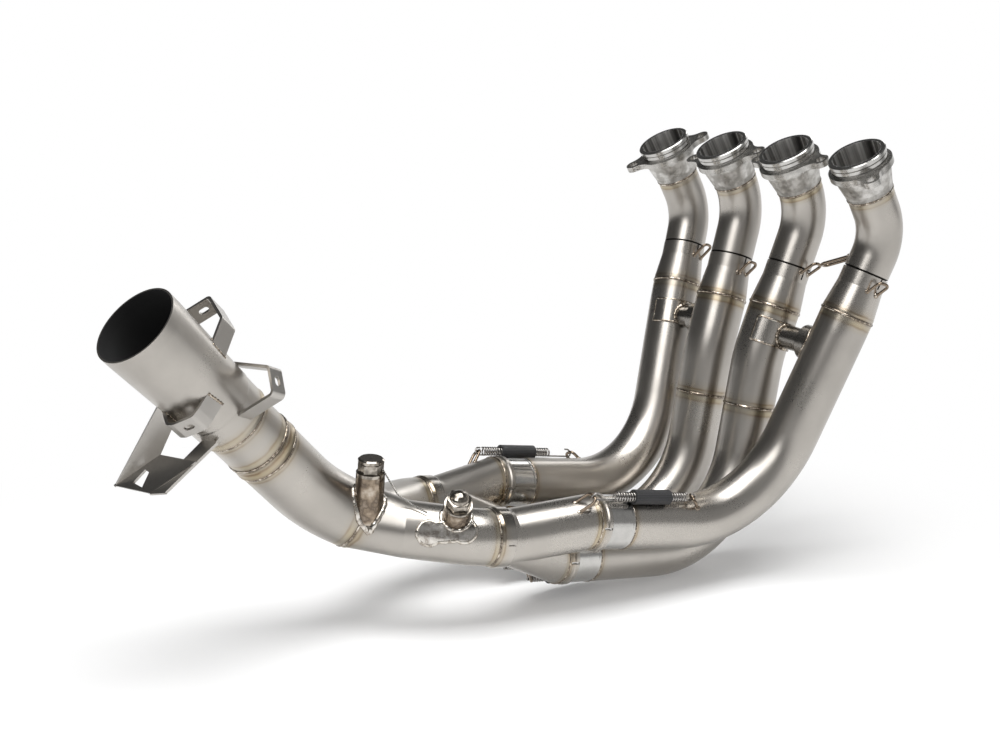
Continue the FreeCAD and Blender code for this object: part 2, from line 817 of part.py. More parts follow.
def spring(number):
    """Extension spring: coils in a ridged body, with a hooked wire at each end."""
    place = spring_frame(number)
    crest = spring_od / 2
    root = crest - spring_wire * 0.35
    bore = crest - spring_wire
    half = spring_length / 2
    outline = [(bore, half), (bore, -half)]
    coils = int(spring_show / spring_wire)
    for i in range(coils):
        start = -half + i * spring_wire
        outline += [(root, start), (crest, start + spring_wire * 0.3), (crest, start + spring_wire * 0.7)]
    outline += [(root, -half + coils * spring_wire), (root, half - coils * spring_wire)]
    for i in range(coils):
        start = half - (coils - i) * spring_wire
        outline += [(crest, start + spring_wire * 0.3), (crest, start + spring_wire * 0.7)]
        outline.append((root, start + spring_wire))
    solids = [turned(outline, place)]
    for behind in (True, False):
        sign = 1 if behind else -1
        bow = crest - spring_wire / 2
        loop = abs(anchor_centre(number, behind)) + spring_wire / 2 + anchor_wire / 2 + hook_play - bow
        route = Route([
            V(-bow, 0, sign * (half - 1)), V(-bow, 0, sign * (loop + bow)), V(bow, 0, sign * (loop + bow)),
            V(bow, 0, sign * (loop - 2))], [bow - 0.05, bow - 0.05])
        wire = bar(route, 0, route.length, spring_wire / 2)
        wire.Placement = place
        solids.append(wire)
    return as_solid(solids[0].multiFuse(solids[1:]))


def spring_sleeve(number):
    place = shifted(spring_frame(number), -sleeve_length / 2)
    bore = spring_od / 2 + sleeve_clearance
    crown = sleeve_od / 2
    return turned([
        (bore, 0), (crown - sleeve_chamfer, 0), (crown, sleeve_chamfer),
        (crown, sleeve_length - sleeve_chamfer), (crown - sleeve_chamfer, sleeve_length),
        (bore, sleeve_length)], place)


def anchor(number, behind):
    """Bent wire loop, welded by both feet to the primary or to the collector."""
    place = spring_frame(number)
    sign = 1 if behind else -1
    centre = anchor_centre(number, behind)
    side = anchor_half_width
    root = anchor_root_behind if behind else anchor_root_before
    reach = anchor_reach_behind if behind else anchor_reach_before
    foot = -spring_lift - root
    lean = centre + sign * reach * (spring_lift + root) / spring_lift
    route = Route([
        V(foot, -side, lean), V(0, -side, centre), V(0, side, centre), V(foot, side, lean)],
        [side * 0.8, side * 0.8])
    wire = bar(route, 0, route.length, anchor_wire / 2)
    wire.Placement = place
    skin = outer_skin(number, behind)
    return biggest(wire.cut(skin))


def outer_skin(number, behind):
    """The space inside the outside of the tube that carries an anchor."""
    station = inlet_station(number)
    if behind:
        return collector_skins["left" if number in (1, 2) else "right"]
    behind = station - anchor_before_inlet - anchor_skin_behind
    return bar(primaries[number], behind, station - spigot_length, lower_od / 2)


def wire_hook(number, after, turn, skin, rise, reach):
    """Small wire loop on an upper tube, leaning toward the port by a reach."""
    point, along = primaries[number].locate(slip_from_port + after)
    side = anchor_half_width
    root = skin - slip_hook_root
    path = Route([
        V(root, -side, slip_hook_heel), V(skin + rise, -side, -reach), V(skin + rise, side, -reach),
        V(root, side, slip_hook_heel)], [side * 0.8, side * 0.8])
    wire = bar(path, 0, path.length, anchor_wire / 2)
    wire.Placement = shifted(frame_at(point, along), 0, -turn)
    return wire


def slip_hook(number):
    """Loop welded to a slip socket."""
    after, turn = slip_hooks[number]
    skin = socket_id / 2 + slip_socket_wall + slip_socket_lip
    wire = wire_hook(number, after, turn, skin, slip_hook_rise, slip_hook_reach)
    end = slip_straight + slip_cone
    core = turned([
        (0, -slip_hook_reach), (skin, -slip_hook_reach), (skin, slip_straight),
        (lower_od / 2, end - slip_rim),
        (lower_od / 2, end), (0, end)], frame_at(*primaries[number].locate(slip_from_port)))
    return biggest(wire.cut(core))


def bend_hook(number):
    """Longer loop welded to an upper bend, just before its slip joint."""
    skin = upper_od / 2
    wire = wire_hook(number, -bend_hook_before, bend_hook_turn, skin, bend_hook_rise, bend_hook_reach)
    return biggest(wire.cut(bar(primaries[number], sleeve_total, slip_from_port - slip_gap, skin)))


def outlet_frame():
    """Frame of the outlet: Z along the final pipe, X up over it, Y to the left."""
    point, along = final.locate(final.length)
    return frame_at(point, along)


def in_outlet(point):
    """A point given as distance along the final pipe, height and distance to the left."""
    return outlet_frame().multVec(V(point.y, point.z, point.x - final.length))


def plate(corners, thickness):
    """A flat sheet through corners, each after the third brought into the plane of the first three."""
    flat = (corners[1] - corners[0]).cross(corners[2] - corners[0]).normalize()
    corners = [corner - flat * flat.dot(corner - corners[0]) for corner in corners]
    face = Part.Face(Part.makePolygon(corners + [corners[0]]))
    normal = face.normalAt(0, 0)
    face.translate(normal * -thickness / 2)
    return face.extrude(normal * thickness)


def fold(start, stop, thickness):
    """Rounded outside of a fold, a hair inside the two sheets that it joins."""
    return Part.makeCylinder(thickness * fold_share, (stop - start).Length, start, stop - start)


def strap(points, across):
    """Strip folded along a flat line of points, as wide as the vector across."""
    route = Route(points, [strap_fold_radius] * (len(points) - 2))
    point, along = route.locate(0)
    width = across.Length
    half = strap_thickness / 2
    corners = [V(0, -half, 0), V(width, -half, 0), V(width, half, 0), V(0, half, 0)]
    section = Part.makePolygon(corners + corners[:1])
    section.Placement = frame_at(point, along, across)
    return line_of(route, 0, route.length).makePipeShell([section], True, False)


def level(points, across):
    """The same points, each moved along a direction until it lies beside the first."""
    side = V(across).normalize()
    return [point - side * side.dot(point - points[0]) for point in points]


def strap_hole(middle, normal, along):
    """Slotted hole through a sheet."""
    half = (strap_slot_length - strap_slot_width) / 2
    place = frame_at(middle - normal * strap_cut_depth / 2, normal, along)
    ends = [Part.makeCylinder(strap_slot_width / 2, strap_cut_depth, V(x, 0, 0)) for x in (-half, half)]
    slot = Part.makeBox(2 * half, strap_slot_width, strap_cut_depth, V(-half, -strap_slot_width / 2, 0))
    hole = ends[0].multiFuse([ends[1], slot])
    hole.Placement = place
    return hole


def flat_strap(outline, station, hole_at):
    """Bracket folded in a plane square to the outlet, its feet on the skin."""
    line = [in_outlet(V(station, height, left)) for height, left in outline]
    across = outlet_frame().Rotation.multVec(V(0, 0, -narrow_strap_width))
    body = strap(line, across)
    middle = (line[hole_at] + line[hole_at + 1]) * 0.5 + across * 0.5
    run = (line[hole_at + 1] - line[hole_at]).normalize()
    hole = strap_hole(middle, run.cross(V(across).normalize()), run)
    return biggest(body.cut(hole).cut(outlet_skin()))


def outlet_skin():
    """The space inside the outside of the flared outlet."""
    point, along = final.locate(outlet_weld_at)
    ahead = [(0, -outlet_skin_ahead), (final_od / 2, -outlet_skin_ahead)]
    return turned(ahead + outlet_outline() + [(0, final.length - outlet_weld_at)], frame_at(point, along))


def front_bracket():
    """Slotted bracket that reaches forward from the outlet's right side."""
    line = [in_outlet(point) for point in front_strap]
    lean = math.radians(front_strap_twist)
    across = outlet_frame().Rotation.multVec(
        V(math.sin(lean), 0, -math.cos(lean)) * (narrow_strap_width - front_strap_narrower))
    line = level(line, across)
    body = strap(line, across)
    run = (line[2] - line[1]).normalize()
    hole = strap_hole((line[1] + line[2]) * 0.5 + across * 0.5, run.cross(V(across).normalize()), run)
    return biggest(body.cut(hole).cut(outlet_skin()))


def stand_bracket():
    """Large bracket under the outlet: a slotted base, one wide leg and one narrow leg."""
    base = [in_outlet(point) for point in stand_base]
    left_top = [in_outlet(point) for point in stand_left_top]
    right_top = [in_outlet(point) for point in stand_right_top]
    edge = in_outlet(stand_right_edge)
    slot = [in_outlet(point) for point in stand_slot]
    thick = strap_thickness
    left = [base[0], base[3], left_top[1], left_top[0]]
    right = [base[1], edge, right_top[0], right_top[1]]
    solids = [plate(sheet, thick) for sheet in (base, left, right)]
    solids += [fold(base[0], base[3], thick), fold(base[1], edge, thick)]
    body = solids[0].multiFuse(solids[1:])
    return biggest(body.cut(plate(slot, 3 * thick)).cut(outlet_skin()))


def lock_wire(plug_points):
    """Twisted safety wire from one plug's head to the other's."""
    route = Route(plug_points, [lock_wire_radius] * (len(plug_points) - 2))
    return bar(route, 0, route.length, lock_wire_od / 2)


pieces = {}


def add(name, shape):
    if not shape.isValid():
        print("not valid:", name)
    pieces[name] = shape


def build_pipes():
    for number in (1, 2, 3, 4):
        add(f"port_sleeve_{number}", port_sleeve(number))
        add(f"port_flange_{number}", port_flange(number))
        add(f"upper_bend_{number}", upper_bend(number))
        add(f"slip_socket_{number}", slip_socket(number))
        add(f"lower_primary_{number}", lower_primary(number))
        add(f"collector_spigot_{number}", collector_spigot(number))
    for side in ("left", "right"):
        add(f"collector_{side}", collector(side))
        add(f"secondary_band_{side}", secondary_band(side))
        add(f"secondary_pipe_{side}", secondary_pipe(side))
        add(f"balance_pipe_{side}", balance_pipe(side))
        add(f"balance_collar_{side}", balance_collar(side))
        add(f"balance_saddle_{side}", balance_saddle(side))
    add("merge_collector", merge_collector())
    add("final_bend", final_bend())
    add("joint_ring", joint_ring())
    add("outlet_pipe", outlet_pipe())
    add("outlet_mouth", outlet_mouth())


def build_fittings():
    foot, outward = front_boss_place()
    route = secondaries["right"]
    skin = bar(route, band_length, route.length, secondary_od / 2)
    pad_skin = bar(route, band_length, route.length, secondary_od / 2 + boss_pad_thickness)
    add("front_sensor_boss", lobed_boss(foot, outward, boss_height, skin, pad_skin))
    add("front_sensor_plug", sensor_plug(foot, outward, boss_height, domed_crown))
    rear_skins = [merge_skins[0], bar(final, merge_outlet_at - 1, merge_outlet_at + boss_od, final_od / 2)]
    rear_plug = sensor_plug(rear_foot, rear_boss_axis, rear_boss_height, flat_crown)
    add("rear_sensor_boss", sensor_boss(rear_foot, rear_boss_axis, rear_boss_height, rear_skins))
    add("rear_sensor_plug", rear_plug)
    wire = lock_wire([at_port_line(point) for point in lock_wire_route])
    add("lock_wire", biggest(wire.cut(rear_plug)))
    for number in (1, 2, 3, 4):
        add(f"spring_{number}", spring(number))
        add(f"spring_sleeve_{number}", spring_sleeve(number))
    loops = [anchor(number, behind) for number in (1, 2, 3, 4) for behind in (True, False)]
    add("spring_anchors", Part.makeCompound(loops))
    hooks = [slip_hook(number) for number in (1, 2, 3, 4)]
    add("slip_joint_hooks", Part.makeCompound(hooks + [bend_hook(4)]))
    add("top_bracket", flat_strap(top_strap, top_strap_at, 2))
    add("lower_bracket", flat_strap(lower_strap, lower_strap_at, 2))
    add("front_bracket", front_bracket())
    add("stand_bracket", stand_bracket())


def save_all():
    os.makedirs("parts", exist_ok=True)
    for name, shape in pieces.items():
        shape.exportStep(f"parts/{name}.step")


build_pipes()
build_fittings()
save_all()
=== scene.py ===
import math

import bmesh
import bpy
from mathutils import Matrix, Quaternion, Vector
from mathutils.bvhtree import BVHTree


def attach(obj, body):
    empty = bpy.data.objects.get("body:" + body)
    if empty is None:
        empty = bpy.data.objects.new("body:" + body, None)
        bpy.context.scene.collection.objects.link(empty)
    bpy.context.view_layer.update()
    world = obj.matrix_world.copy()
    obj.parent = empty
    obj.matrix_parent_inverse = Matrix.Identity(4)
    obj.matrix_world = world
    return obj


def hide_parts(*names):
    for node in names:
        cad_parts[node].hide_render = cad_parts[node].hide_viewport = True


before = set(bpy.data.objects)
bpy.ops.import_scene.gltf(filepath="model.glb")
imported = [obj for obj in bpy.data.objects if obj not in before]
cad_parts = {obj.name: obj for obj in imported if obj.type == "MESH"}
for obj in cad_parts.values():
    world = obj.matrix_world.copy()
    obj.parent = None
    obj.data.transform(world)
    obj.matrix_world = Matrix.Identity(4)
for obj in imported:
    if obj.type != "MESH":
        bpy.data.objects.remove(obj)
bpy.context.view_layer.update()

# Exhaust header of an inline-four motorcycle. Lengths are in metres, in the frame of the CAD
# model: X to the rider's right, Y forward, Z up, the origin on the ground under the middle.

# Middle of the port row
PORT_ROW = Vector((-0.00417, 0.27153, 0.36038))
PORT_PITCH = 0.0806
PORT_TILT = math.radians(60)

# Tube sizes
UPPER_RADIUS = 0.01905
LOWER_RADIUS = 0.022225
FINAL_RADIUS = 0.0263
COLLAR_RADIUS = 0.0279
MOUTH_RADIUS = 0.0317
FINAL_WALL = 0.0014

# Centrelines from the port row, each on the rider's right: corners after the port, then radii
OUTER_DROP = 0.0763
OUTER_CORNERS = [(0.1063, 0.0070, -0.1493), (0.0719, -0.0518, -0.3138), (0.0681, -0.2300, -0.2855)]
OUTER_RADII = [0.046, 0.150, 0.100]
INNER_DROP = 0.0624
INNER_CORNERS = [(0.0314, -0.0126, -0.1784), (0.0320, -0.0458, -0.3478), (0.0359, -0.2429, -0.3210)]
INNER_RADII = [0.053, 0.158, 0.091]
SECONDARY_CORNERS = [(0.0540, -0.2975, -0.2900), (0.0518, -0.3210, -0.2868), (0.0230, -0.3660, -0.2800)]
SECONDARY_RADII = [0.045]
FINAL_CORNERS = [(0.0002, -0.3695, -0.2818), (-0.0157, -0.4099, -0.2694), (0.0225, -0.5725, -0.1037)]
FINAL_RADII = [0.118]

# Distances along a primary from its port
CONE_FOOT = 0.037
SOCKET_FOOT = 0.148
INNER_SEAM = 0.237
INLET_AT = {1: 0.482, 2: 0.5115, 3: 0.5115, 4: 0.482}
SPIGOT_LENGTH = 0.024
INLET_STRAIGHT = 0.009

# Distances along the final pipe
MERGE_SEAM = 0.030
JOINT_RING = 0.1265
JOINT_RING_LENGTH = 0.011
OUTLET_SEAM = 0.166
CONE_END = 0.268

# Distances along a secondary: the foot of its socket band and the bead on it
BAND_FOOT = 0.0125
BAND_BEAD_AT = 0.0127

# Port sleeve: the line between the skin and the bore of its cone is a radius and a slope
NOSE_LENGTH = 0.010
BORE_RADIUS = 0.0203
SLEEVE_MIDDLE_RADIUS = 0.0228
SLEEVE_MIDDLE_SLOPE = -0.12

# Slip joint and the wire loops beside it: tube, distance after the joint, turn, node, rise and reach
SLIP_JOINT = 0.110
WIRE_HOOKS = [
    (1, 0.012, 74, "slip_socket", 0.010, 0.012), (2, 0.016, 80, "slip_socket", 0.010, 0.012),
    (3, 0.004, 108, "slip_socket", 0.010, 0.012), (4, 0.015, 103, "slip_socket", 0.010, 0.012),
    (4, -0.013, -45, "upper_bend", 0.019, -0.020)]
HOOK_ROOT = 0.004
HOOK_HEEL = 0.003
LOOP_HALF_WIDTH = 0.005

# Springs, hooked over wire anchors
SPRING_LIFT = 0.0064
UPPER_SPRING_TURN = math.radians(32)
LOWER_SPRING_TURN = math.radians(142)
SPRING_AHEAD = {1: 0.025, 2: 0.020, 3: 0.020, 4: 0.040}
COIL_RADIUS = 0.00335
COIL_WIRE = 0.0015
COIL_PITCH = 0.0026
COIL_LENGTH = 0.072
COIL_STEPS = 20
COIL_OVERLAP = 0.001
COIL_HOOK_LIP = 0.002
COIL_HOOK_BEND = COIL_RADIUS * 0.98
COIL_HOOK_STEP = 0.0006
ANCHOR_WIRE = 0.0026
ANCHOR_BEHIND_INLET = 0.017
ANCHOR_BEFORE_INLET = 0.084
ANCHOR_REACH_BEHIND = 0.005
ANCHOR_REACH_BEFORE = 0.006
ANCHOR_ROOT_BEHIND = 0.012
ANCHOR_ROOT_BEFORE = 0.005
WEAVE_PITCH = 3600.0
WEAVE_STRANDS = 14.0

# Balance pipes between the tubes of each side
BALANCE_AT = {1: 0.179, 2: 0.170, 3: 0.170, 4: 0.179}
BALANCE_RADIUS = 0.0103
BALANCE_COLLAR_RADIUS = 0.015
SADDLE_WIDTH = 0.021
SADDLE_HALF_WRAP = math.radians(80)

# Sensor bosses
BOSS_RADIUS = 0.011
BOSS_BORE = 0.00785
BOSS_HEIGHT = 0.013
PLUG_STEM = 0.009
PLUG_SEAT = 0.0024
PLUG_TOP = 0.0094
PLUG_HEX = 0.0098
PLUG_CROWN = 0.0074
PLUG_DOME = 0.0049
PLUG_CHAMFER = 0.0003
HEX_CHAMFER = 0.0006
DOME_STEPS = 10
PLUG_STEPS = 64
PLUG_SHARP = math.radians(35)
FRONT_BOSS_AT = 0.040
FRONT_BOSS_LEAN = 35
PAD_LOBES = [(0.0335, 62), (0.0585, 75)]
PAD_LOBE_RADIUS = 0.0085
PAD_BRIDGE = 0.013
PAD_TONE_FROM = BOSS_RADIUS + 0.0002
PAD_TONE_FULL = BOSS_RADIUS + 0.001
REAR_BOSS_FOOT = (0.0143, -0.3924, -0.2574)
REAR_BOSS_AXIS = (0.12, 0.0, 0.993)

# Lock wire
LOCK_WIRE_CORNERS = [
    (0.0235, -0.3860, -0.2290), (0.0280, -0.3750, -0.2505), (0.0350, -0.3666, -0.2580),
    (0.0450, -0.3596, -0.2628)]
LOCK_WIRE_RADIUS = 0.006
LOCK_WIRE_TWIST = 0.75
LOCK_WIRE_STEP = 0.0004
STRAND_RADIUS = 0.0004

# Feet of the folded brackets on the outlet: distance along the pipe, then foot and head of each
# end as height over the axis and distance to the left
STRAP_THICKNESS = 0.0022
STRAP_WIDTH = 0.015
STRAP_FEET = [
    ("top_bracket", 0.2315, [
        ((0.0080, 0.0290), (0.0300, 0.0360)), ((0.0220, -0.0190), (0.0436, -0.0106))]),
    ("lower_bracket", 0.2168, [
        ((-0.0220, 0.0140), (-0.0375, -0.0092)), ((-0.0060, -0.0270), (-0.0203, -0.0283))])]

# How far off the skins the points of a bead are looked for
SIGHT_LIFT = 0.03
BALANCE_SIGHT_LIFT = 0.06
REAR_BOSS_SIGHT_LIFT = 0.02

# Weld beads: flatness, ripple, pitch and sides, then each bead's radius or radius and pitch
BEAD_FLATNESS = 0.62
BEAD_RIPPLE = 0.12
BEAD_PITCH = 0.0016
BEAD_SIDES = 8
CONE_BEAD = 0.0011
SOCKET_BEAD = 0.0012
SPIGOT_BEAD = 0.0007
INLET_BEAD = 0.0008
MIDDLE_BEAD = 0.0011
BAND_BEAD = 0.0009
MERGE_BEAD = 0.0010
JOINT_BEAD = 0.0012
OUTLET_BEAD = 0.0013
OUTLET_BEAD_LIFT = 0.0004
SADDLE_BEAD = (0.0011, 0.0033)
SADDLE_THICKNESS = 0.0007
PIPE_BEAD = (0.0017, 0.0036)
COLLAR_BEAD = (0.0018, 0.0036)
BOSS_RIPPLE = 0.11
FRONT_BOSS_BEAD = (0.0017, 0.0052)
PAD_BEAD = (0.0020, 0.0061)
REAR_BOSS_BEAD = (0.0024, 0.0057)
BOSS_BEAD_SHIFT = 0.0006
PAD_BEAD_SHIFT = 0.0005
PIPE_BEAD_SHIFT = 0.0005
COLLAR_BEAD_SHIFT = 0.0004
FOOT_BEAD = (0.0010, 0.003)
FOOT_BEAD_SHIFT = 0.0004
FOOT_RIPPLE = 0.25
FOOT_POINTS = 24
FOOT_POINTS_LEAST = 5

# Weld drops at the feet of the wire loops
DROP_RADIUS = 0.0024
DROP_SHAPE = (1.15, 0.95, 0.55, 1)
DROP_UNEVEN = 0.18
DROP_TURN = 2.4

# Colours of the metals
TUBE_COLOUR = (0.49, 0.462, 0.425)
TUBE_DARK = 0.86
TUBE_PATCH = 0.93
BALANCE_TONE = 0.55
BALANCE_ROUGH = 0.24
BAND_ROUGH = 0.2
TURNED_COLOUR = (0.54, 0.53, 0.51)
SOOT_COLOUR = (0.008, 0.008, 0.008)
SOOT_ROUGH = 0.85
SOOT_DEPTH = FINAL_WALL * 0.9
# Painted shade in the slip joint's gap: its colour, and how far before the joint it starts
GAP_SHADE_COLOUR = (0.03, 0.027, 0.024)
GAP_SHADE_DEPTH = 0.0019
DRAWN_WIRE = (0.31, 0.245, 0.185)
SPRING_WIRE = (0.46, 0.44, 0.42)
LOCK_WIRE = (0.60, 0.58, 0.55)
# Painted reflections: light and dark streaks round the inside of the port bores, one of them near white
BORE_REFLECTION_STREAKS = [
    (0.34, (0.10, 0.097, 0.094)), (0.45, (0.42, 0.41, 0.40)), (0.53, (0.98, 0.97, 0.95)),
    (0.64, (0.26, 0.25, 0.24))]
BROWNED = [
    (0.30, (0.50, 0.44, 0.37)), (0.43, (0.30, 0.24, 0.18)), (0.55, (0.14, 0.11, 0.085)),
    (0.72, (0.36, 0.30, 0.24))]
PAD_COLOURS = [
    (0.30, (0.74, 0.71, 0.67)), (0.50, (0.60, 0.565, 0.52)), (0.62, (0.36, 0.32, 0.28)),
    (0.70, (0.66, 0.63, 0.59))]
SEAM_COLOURS = [
    (0.32, (0.68, 0.63, 0.56)), (0.47, (0.40, 0.34, 0.27)), (0.58, (0.13, 0.105, 0.085)),
    (0.75, (0.50, 0.44, 0.37))]
BOSS_WELD_COLOURS = [
    (0.32, (0.74, 0.71, 0.66)), (0.52, (0.58, 0.54, 0.48)), (0.64, (0.30, 0.26, 0.22)),
    (0.75, (0.62, 0.58, 0.52))]

# Heat tint across a weld, from one side to the other: place, then what it does to the metal
WELD_TINT = [
    (0.00, (1.00, 1.00, 1.00)), (0.14, (0.98, 0.96, 0.93)), (0.27, (0.95, 0.90, 0.82)),
    (0.33, (0.62, 0.51, 0.38)), (0.39, (0.94, 0.85, 0.68)), (0.46, (0.50, 0.42, 0.33)),
    (0.50, (0.24, 0.20, 0.165)), (0.54, (0.54, 0.46, 0.37)), (0.63, (0.99, 0.91, 0.72)),
    (0.71, (0.95, 0.86, 0.66)), (0.76, (0.70, 0.59, 0.45)), (0.83, (0.97, 0.94, 0.88)),
    (1.00, (1.00, 1.00, 1.00))]
TINT_NEAR = 0.036
TINT_FAR = 0.044
TINT_WIDTH = 0.012
CONE_TINT = 0.009
INLET_TINT = 0.007
BAND_TINT = 0.009
TINT_WAVE = 0.16

# Studio
FLOOR_REACH = 6.0
FLOOR_GAP = 0.0002
FLOOR_GLOW = 0.20
WHITE_FROM = 0.34
WHITE_AFTER = 0.60
HEADER_MIDDLE = Vector((0.0, 0.0, 0.18))
SWEEP_BRIGHT = 0.9
WALL_BRIGHT = 0.34
ROOM_DIM = 0.07
ROOM_FILL = 0.16
CAMERA_PLACE = Vector((0.96343, -0.64377, 0.42518))
CAMERA_AZIMUTH = math.radians(56.06)
CAMERA_ELEVATION = math.radians(11.62)
CAMERA_ROLL = math.radians(0.41)
CAMERA_LENS = 53.54
CAMERA_SENSOR = 36.0

# Softboxes: turn from the camera's side, height, reach, width, tallness and watts
SOFTBOXES = {
    "top_softbox": (20, 80, 1.6, 1.4, 1.1, 29),
    "front_softbox": (-26, 40, 2.0, 1.1, 1.3, 14),
    "side_softbox": (152, 28, 2.4, 0.5, 1.2, 5)}


class Route:
    """A centreline of straight runs and arcs through corners."""

    def __init__(self, corners, radii):
        self.runs = []
        start = corners[0]
        for i in range(1, len(corners)):
            along = (corners[i] - start).normalized()
            reach = (corners[i] - start).length
            if i == len(corners) - 1:
                self.runs.append((start, along, reach, None, 0.0))
                break
            onward = (corners[i + 1] - corners[i]).normalized()
            turn = along.angle(onward)
            trim = radii[i - 1] * math.tan(turn / 2)
            self.runs.append((start, along, reach - trim, None, 0.0))
            bend_start = corners[i] - along * trim
            axis = along.cross(onward).normalized()
            self.runs.append((bend_start, along, radii[i - 1] * turn, axis, radii[i - 1]))
            start = corners[i] + onward * trim

    def at(self, distance):
        """Point and direction at a distance from the start."""
        for start, along, length, axis, radius in self.runs:
            last = start is self.runs[-1][0]
            if distance > length and not last:
                distance -= length
                continue
            if axis is None:
                return start + along * distance, along.copy()
            swing = Quaternion(axis, distance / radius)
            centre = start + axis.cross(along) * radius
            return centre + swing @ (start - centre), swing @ along

    def length(self):
        return sum(run[2] for run in self.runs)

    def points(self, step):
        """Points from end to end, about a step apart."""
        count = max(2, round(self.length() / step))
        return [self.at(self.length() * i / count)[0] for i in range(count + 1)]


def primary_route(number):
    outer = number in (1, 4)
    across = PORT_PITCH * (1.5 if outer else 0.5)
    drop = OUTER_DROP if outer else INNER_DROP
    first = (across, drop * math.cos(PORT_TILT), -drop * math.sin(PORT_TILT))
    corners = [(across, 0.0, 0.0), first] + (OUTER_CORNERS if outer else INNER_CORNERS)
    return placed(corners, number in (1, 2), OUTER_RADII if outer else INNER_RADII)


def placed(corners, on_left, radii):
    """Route through corners given from the port row on the right, mirrored for the left."""
    side = -1 if on_left else 1
    return Route([PORT_ROW + Vector((side * x, y, z)) for x, y, z in corners], radii)


primaries = {number: primary_route(number) for number in (1, 2, 3, 4)}
secondaries = {
    side: placed(SECONDARY_CORNERS, side == "left", SECONDARY_RADII) for side in ("left", "right")}
final = placed(FINAL_CORNERS, False, FINAL_RADII)
MOUTH_END = final.length()


def frame_at(point, along, away=Vector((0, 0, 1))):
    """Matrix whose Z runs along a direction and whose X leans up, or away from a skin."""
    z = along.normalized()
    x = (away - z * z.dot(away)).normalized()
    y = z.cross(x)
    return Matrix((
        (x.x, y.x, z.x, point.x), (x.y, y.y, z.y, point.y), (x.z, y.z, z.z, point.z), (0, 0, 0, 1)))


def in_scene(mesh, name, material):
    """Turn a bmesh into an object of the scene."""
    data = bpy.data.meshes.new(name)
    mesh.to_mesh(data)
    mesh.free()
    data.materials.append(material)
    made = bpy.data.objects.new(name, data)
    bpy.context.scene.collection.objects.link(made)
    return made


def finished(mesh, name, material):
    """Turn a bmesh into a smooth piece that rides with the header."""
    bmesh.ops.remove_doubles(mesh, verts=mesh.verts, dist=1e-6)
    bmesh.ops.recalc_face_normals(mesh, faces=mesh.faces)
    piece = in_scene(mesh, name, material)
    piece.data.shade_smooth()
    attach(piece, "root")
    return piece


# Nodes of the materials and of the room


class Nodes:
    """Short ways to add nodes to a tree."""

    def __init__(self, tree):
        self.tree = tree

    def node(self, kind, *values, **settings):
        """New node with its settings, and with its first inputs linked or set."""
        made = self.tree.nodes.new(kind)
        for key, value in settings.items():
            setattr(made, key, value)
        for socket, value in zip(made.inputs, values):
            self.feed(socket, value)
        return made

    def feed(self, socket, value):
        if isinstance(value, bpy.types.NodeSocket):
            self.tree.links.new(value, socket)
        elif value is not None:
            socket.default_value = value

    def math(self, operation, *values, clamp=False):
        return self.node("ShaderNodeMath", *values, operation=operation, use_clamp=clamp).outputs[0]

    def vector(self, operation, *values):
        made = self.node("ShaderNodeVectorMath", *values, operation=operation)
        return made.outputs["Value" if operation in ("DOT_PRODUCT", "LENGTH") else "Vector"]

    def spread(self, value, low, high, new_low, new_high):
        """Ease a value from one range into another."""
        made = self.node(
            "ShaderNodeMapRange", value, low, high, new_low, new_high, interpolation_type="SMOOTHSTEP")
        return made.outputs[0]


class Finish(Nodes):
    """A node material that is built up from its principled shader."""

    def __init__(self, name, colour, metallic, roughness):
        self.material = bpy.data.materials.new(name)
        self.material.use_nodes = True
        super().__init__(self.material.node_tree)
        self.shader = self.tree.nodes["Principled BSDF"]
        self.shader.inputs["Metallic"].default_value = metallic
        self.shader.inputs["Roughness"].default_value = roughness
        self.shader.inputs["Base Color"].default_value = (*colour, 1)
        self.place = self.node("ShaderNodeTexCoord").outputs["Object"]

    def offset(self, point):
        return self.vector("SUBTRACT", self.place, tuple(point))

    def travel(self, offset, along):
        """Distance along a direction."""
        return self.vector("DOT_PRODUCT", offset, tuple(along))

    def across(self, offset, along):
        """Distance from an axis."""
        return self.vector("LENGTH", self.vector("CROSS_PRODUCT", offset, tuple(along)))

    def turn(self, offset, side, away):
        """Angle round an axis."""
        return self.math("ARCTAN2", self.travel(offset, side), self.travel(offset, away))

    def noise(self, scale, detail=3.0, stretch=None):
        place = self.place if stretch is None else self.vector("MULTIPLY", self.place, stretch)
        return self.node("ShaderNodeTexNoise", place, None, scale, detail).outputs[0]

    def noise_along(self, value, scale, detail):
        made = self.node("ShaderNodeTexNoise", None, value, scale, detail, noise_dimensions="1D")
        return made.outputs[0]

    def ramp(self, value, stops):
        made = self.node("ShaderNodeValToRGB", value)
        elements = made.color_ramp.elements
        while len(elements) < len(stops):
            elements.new(0.5)
        for element, (spot, colour) in zip(elements, stops):
            element.position = spot
            element.color = (*colour, 1)
        return made.outputs["Color"]

    def mix(self, factor, first, second, blend="MIX"):
        made = self.node("ShaderNodeMix", factor, data_type="RGBA", blend_type=blend)
        for socket, colour in zip(made.inputs[6:8], (first, second)):
            self.feed(socket, colour if isinstance(colour, bpy.types.NodeSocket) else (*colour, 1))
        return made.outputs[2]

    def bump(self, height, distance, strength):
        """Relief on top of any that is there."""
        made = self.node("ShaderNodeBump", strength, distance)
        self.feed(made.inputs["Height"], height)
        for under in self.shader.inputs["Normal"].links:
            self.feed(made.inputs["Normal"], under.from_socket)
        self.feed(self.shader.inputs["Normal"], made.outputs["Normal"])

    def clouded(self, value, low, high, first, second):
        """Colour that goes from one to another as a value rises."""
        return self.mix(self.spread(value, low, high, 0.0, 1.0), first, second)

    def grained(self, noise, low, high):
        """Roughness that follows a noise."""
        return self.spread(noise, 0.3, 0.7, low, high)

    def source(self, name):
        """What now feeds a socket of the shader."""
        return self.shader.inputs[name].links[0].from_socket

    def colour(self, source):
        self.feed(self.shader.inputs["Base Color"], source)

    def rough(self, source):
        self.feed(self.shader.inputs["Roughness"], source)


def toned(colour, tone):
    return tuple(part * tone for part in colour)


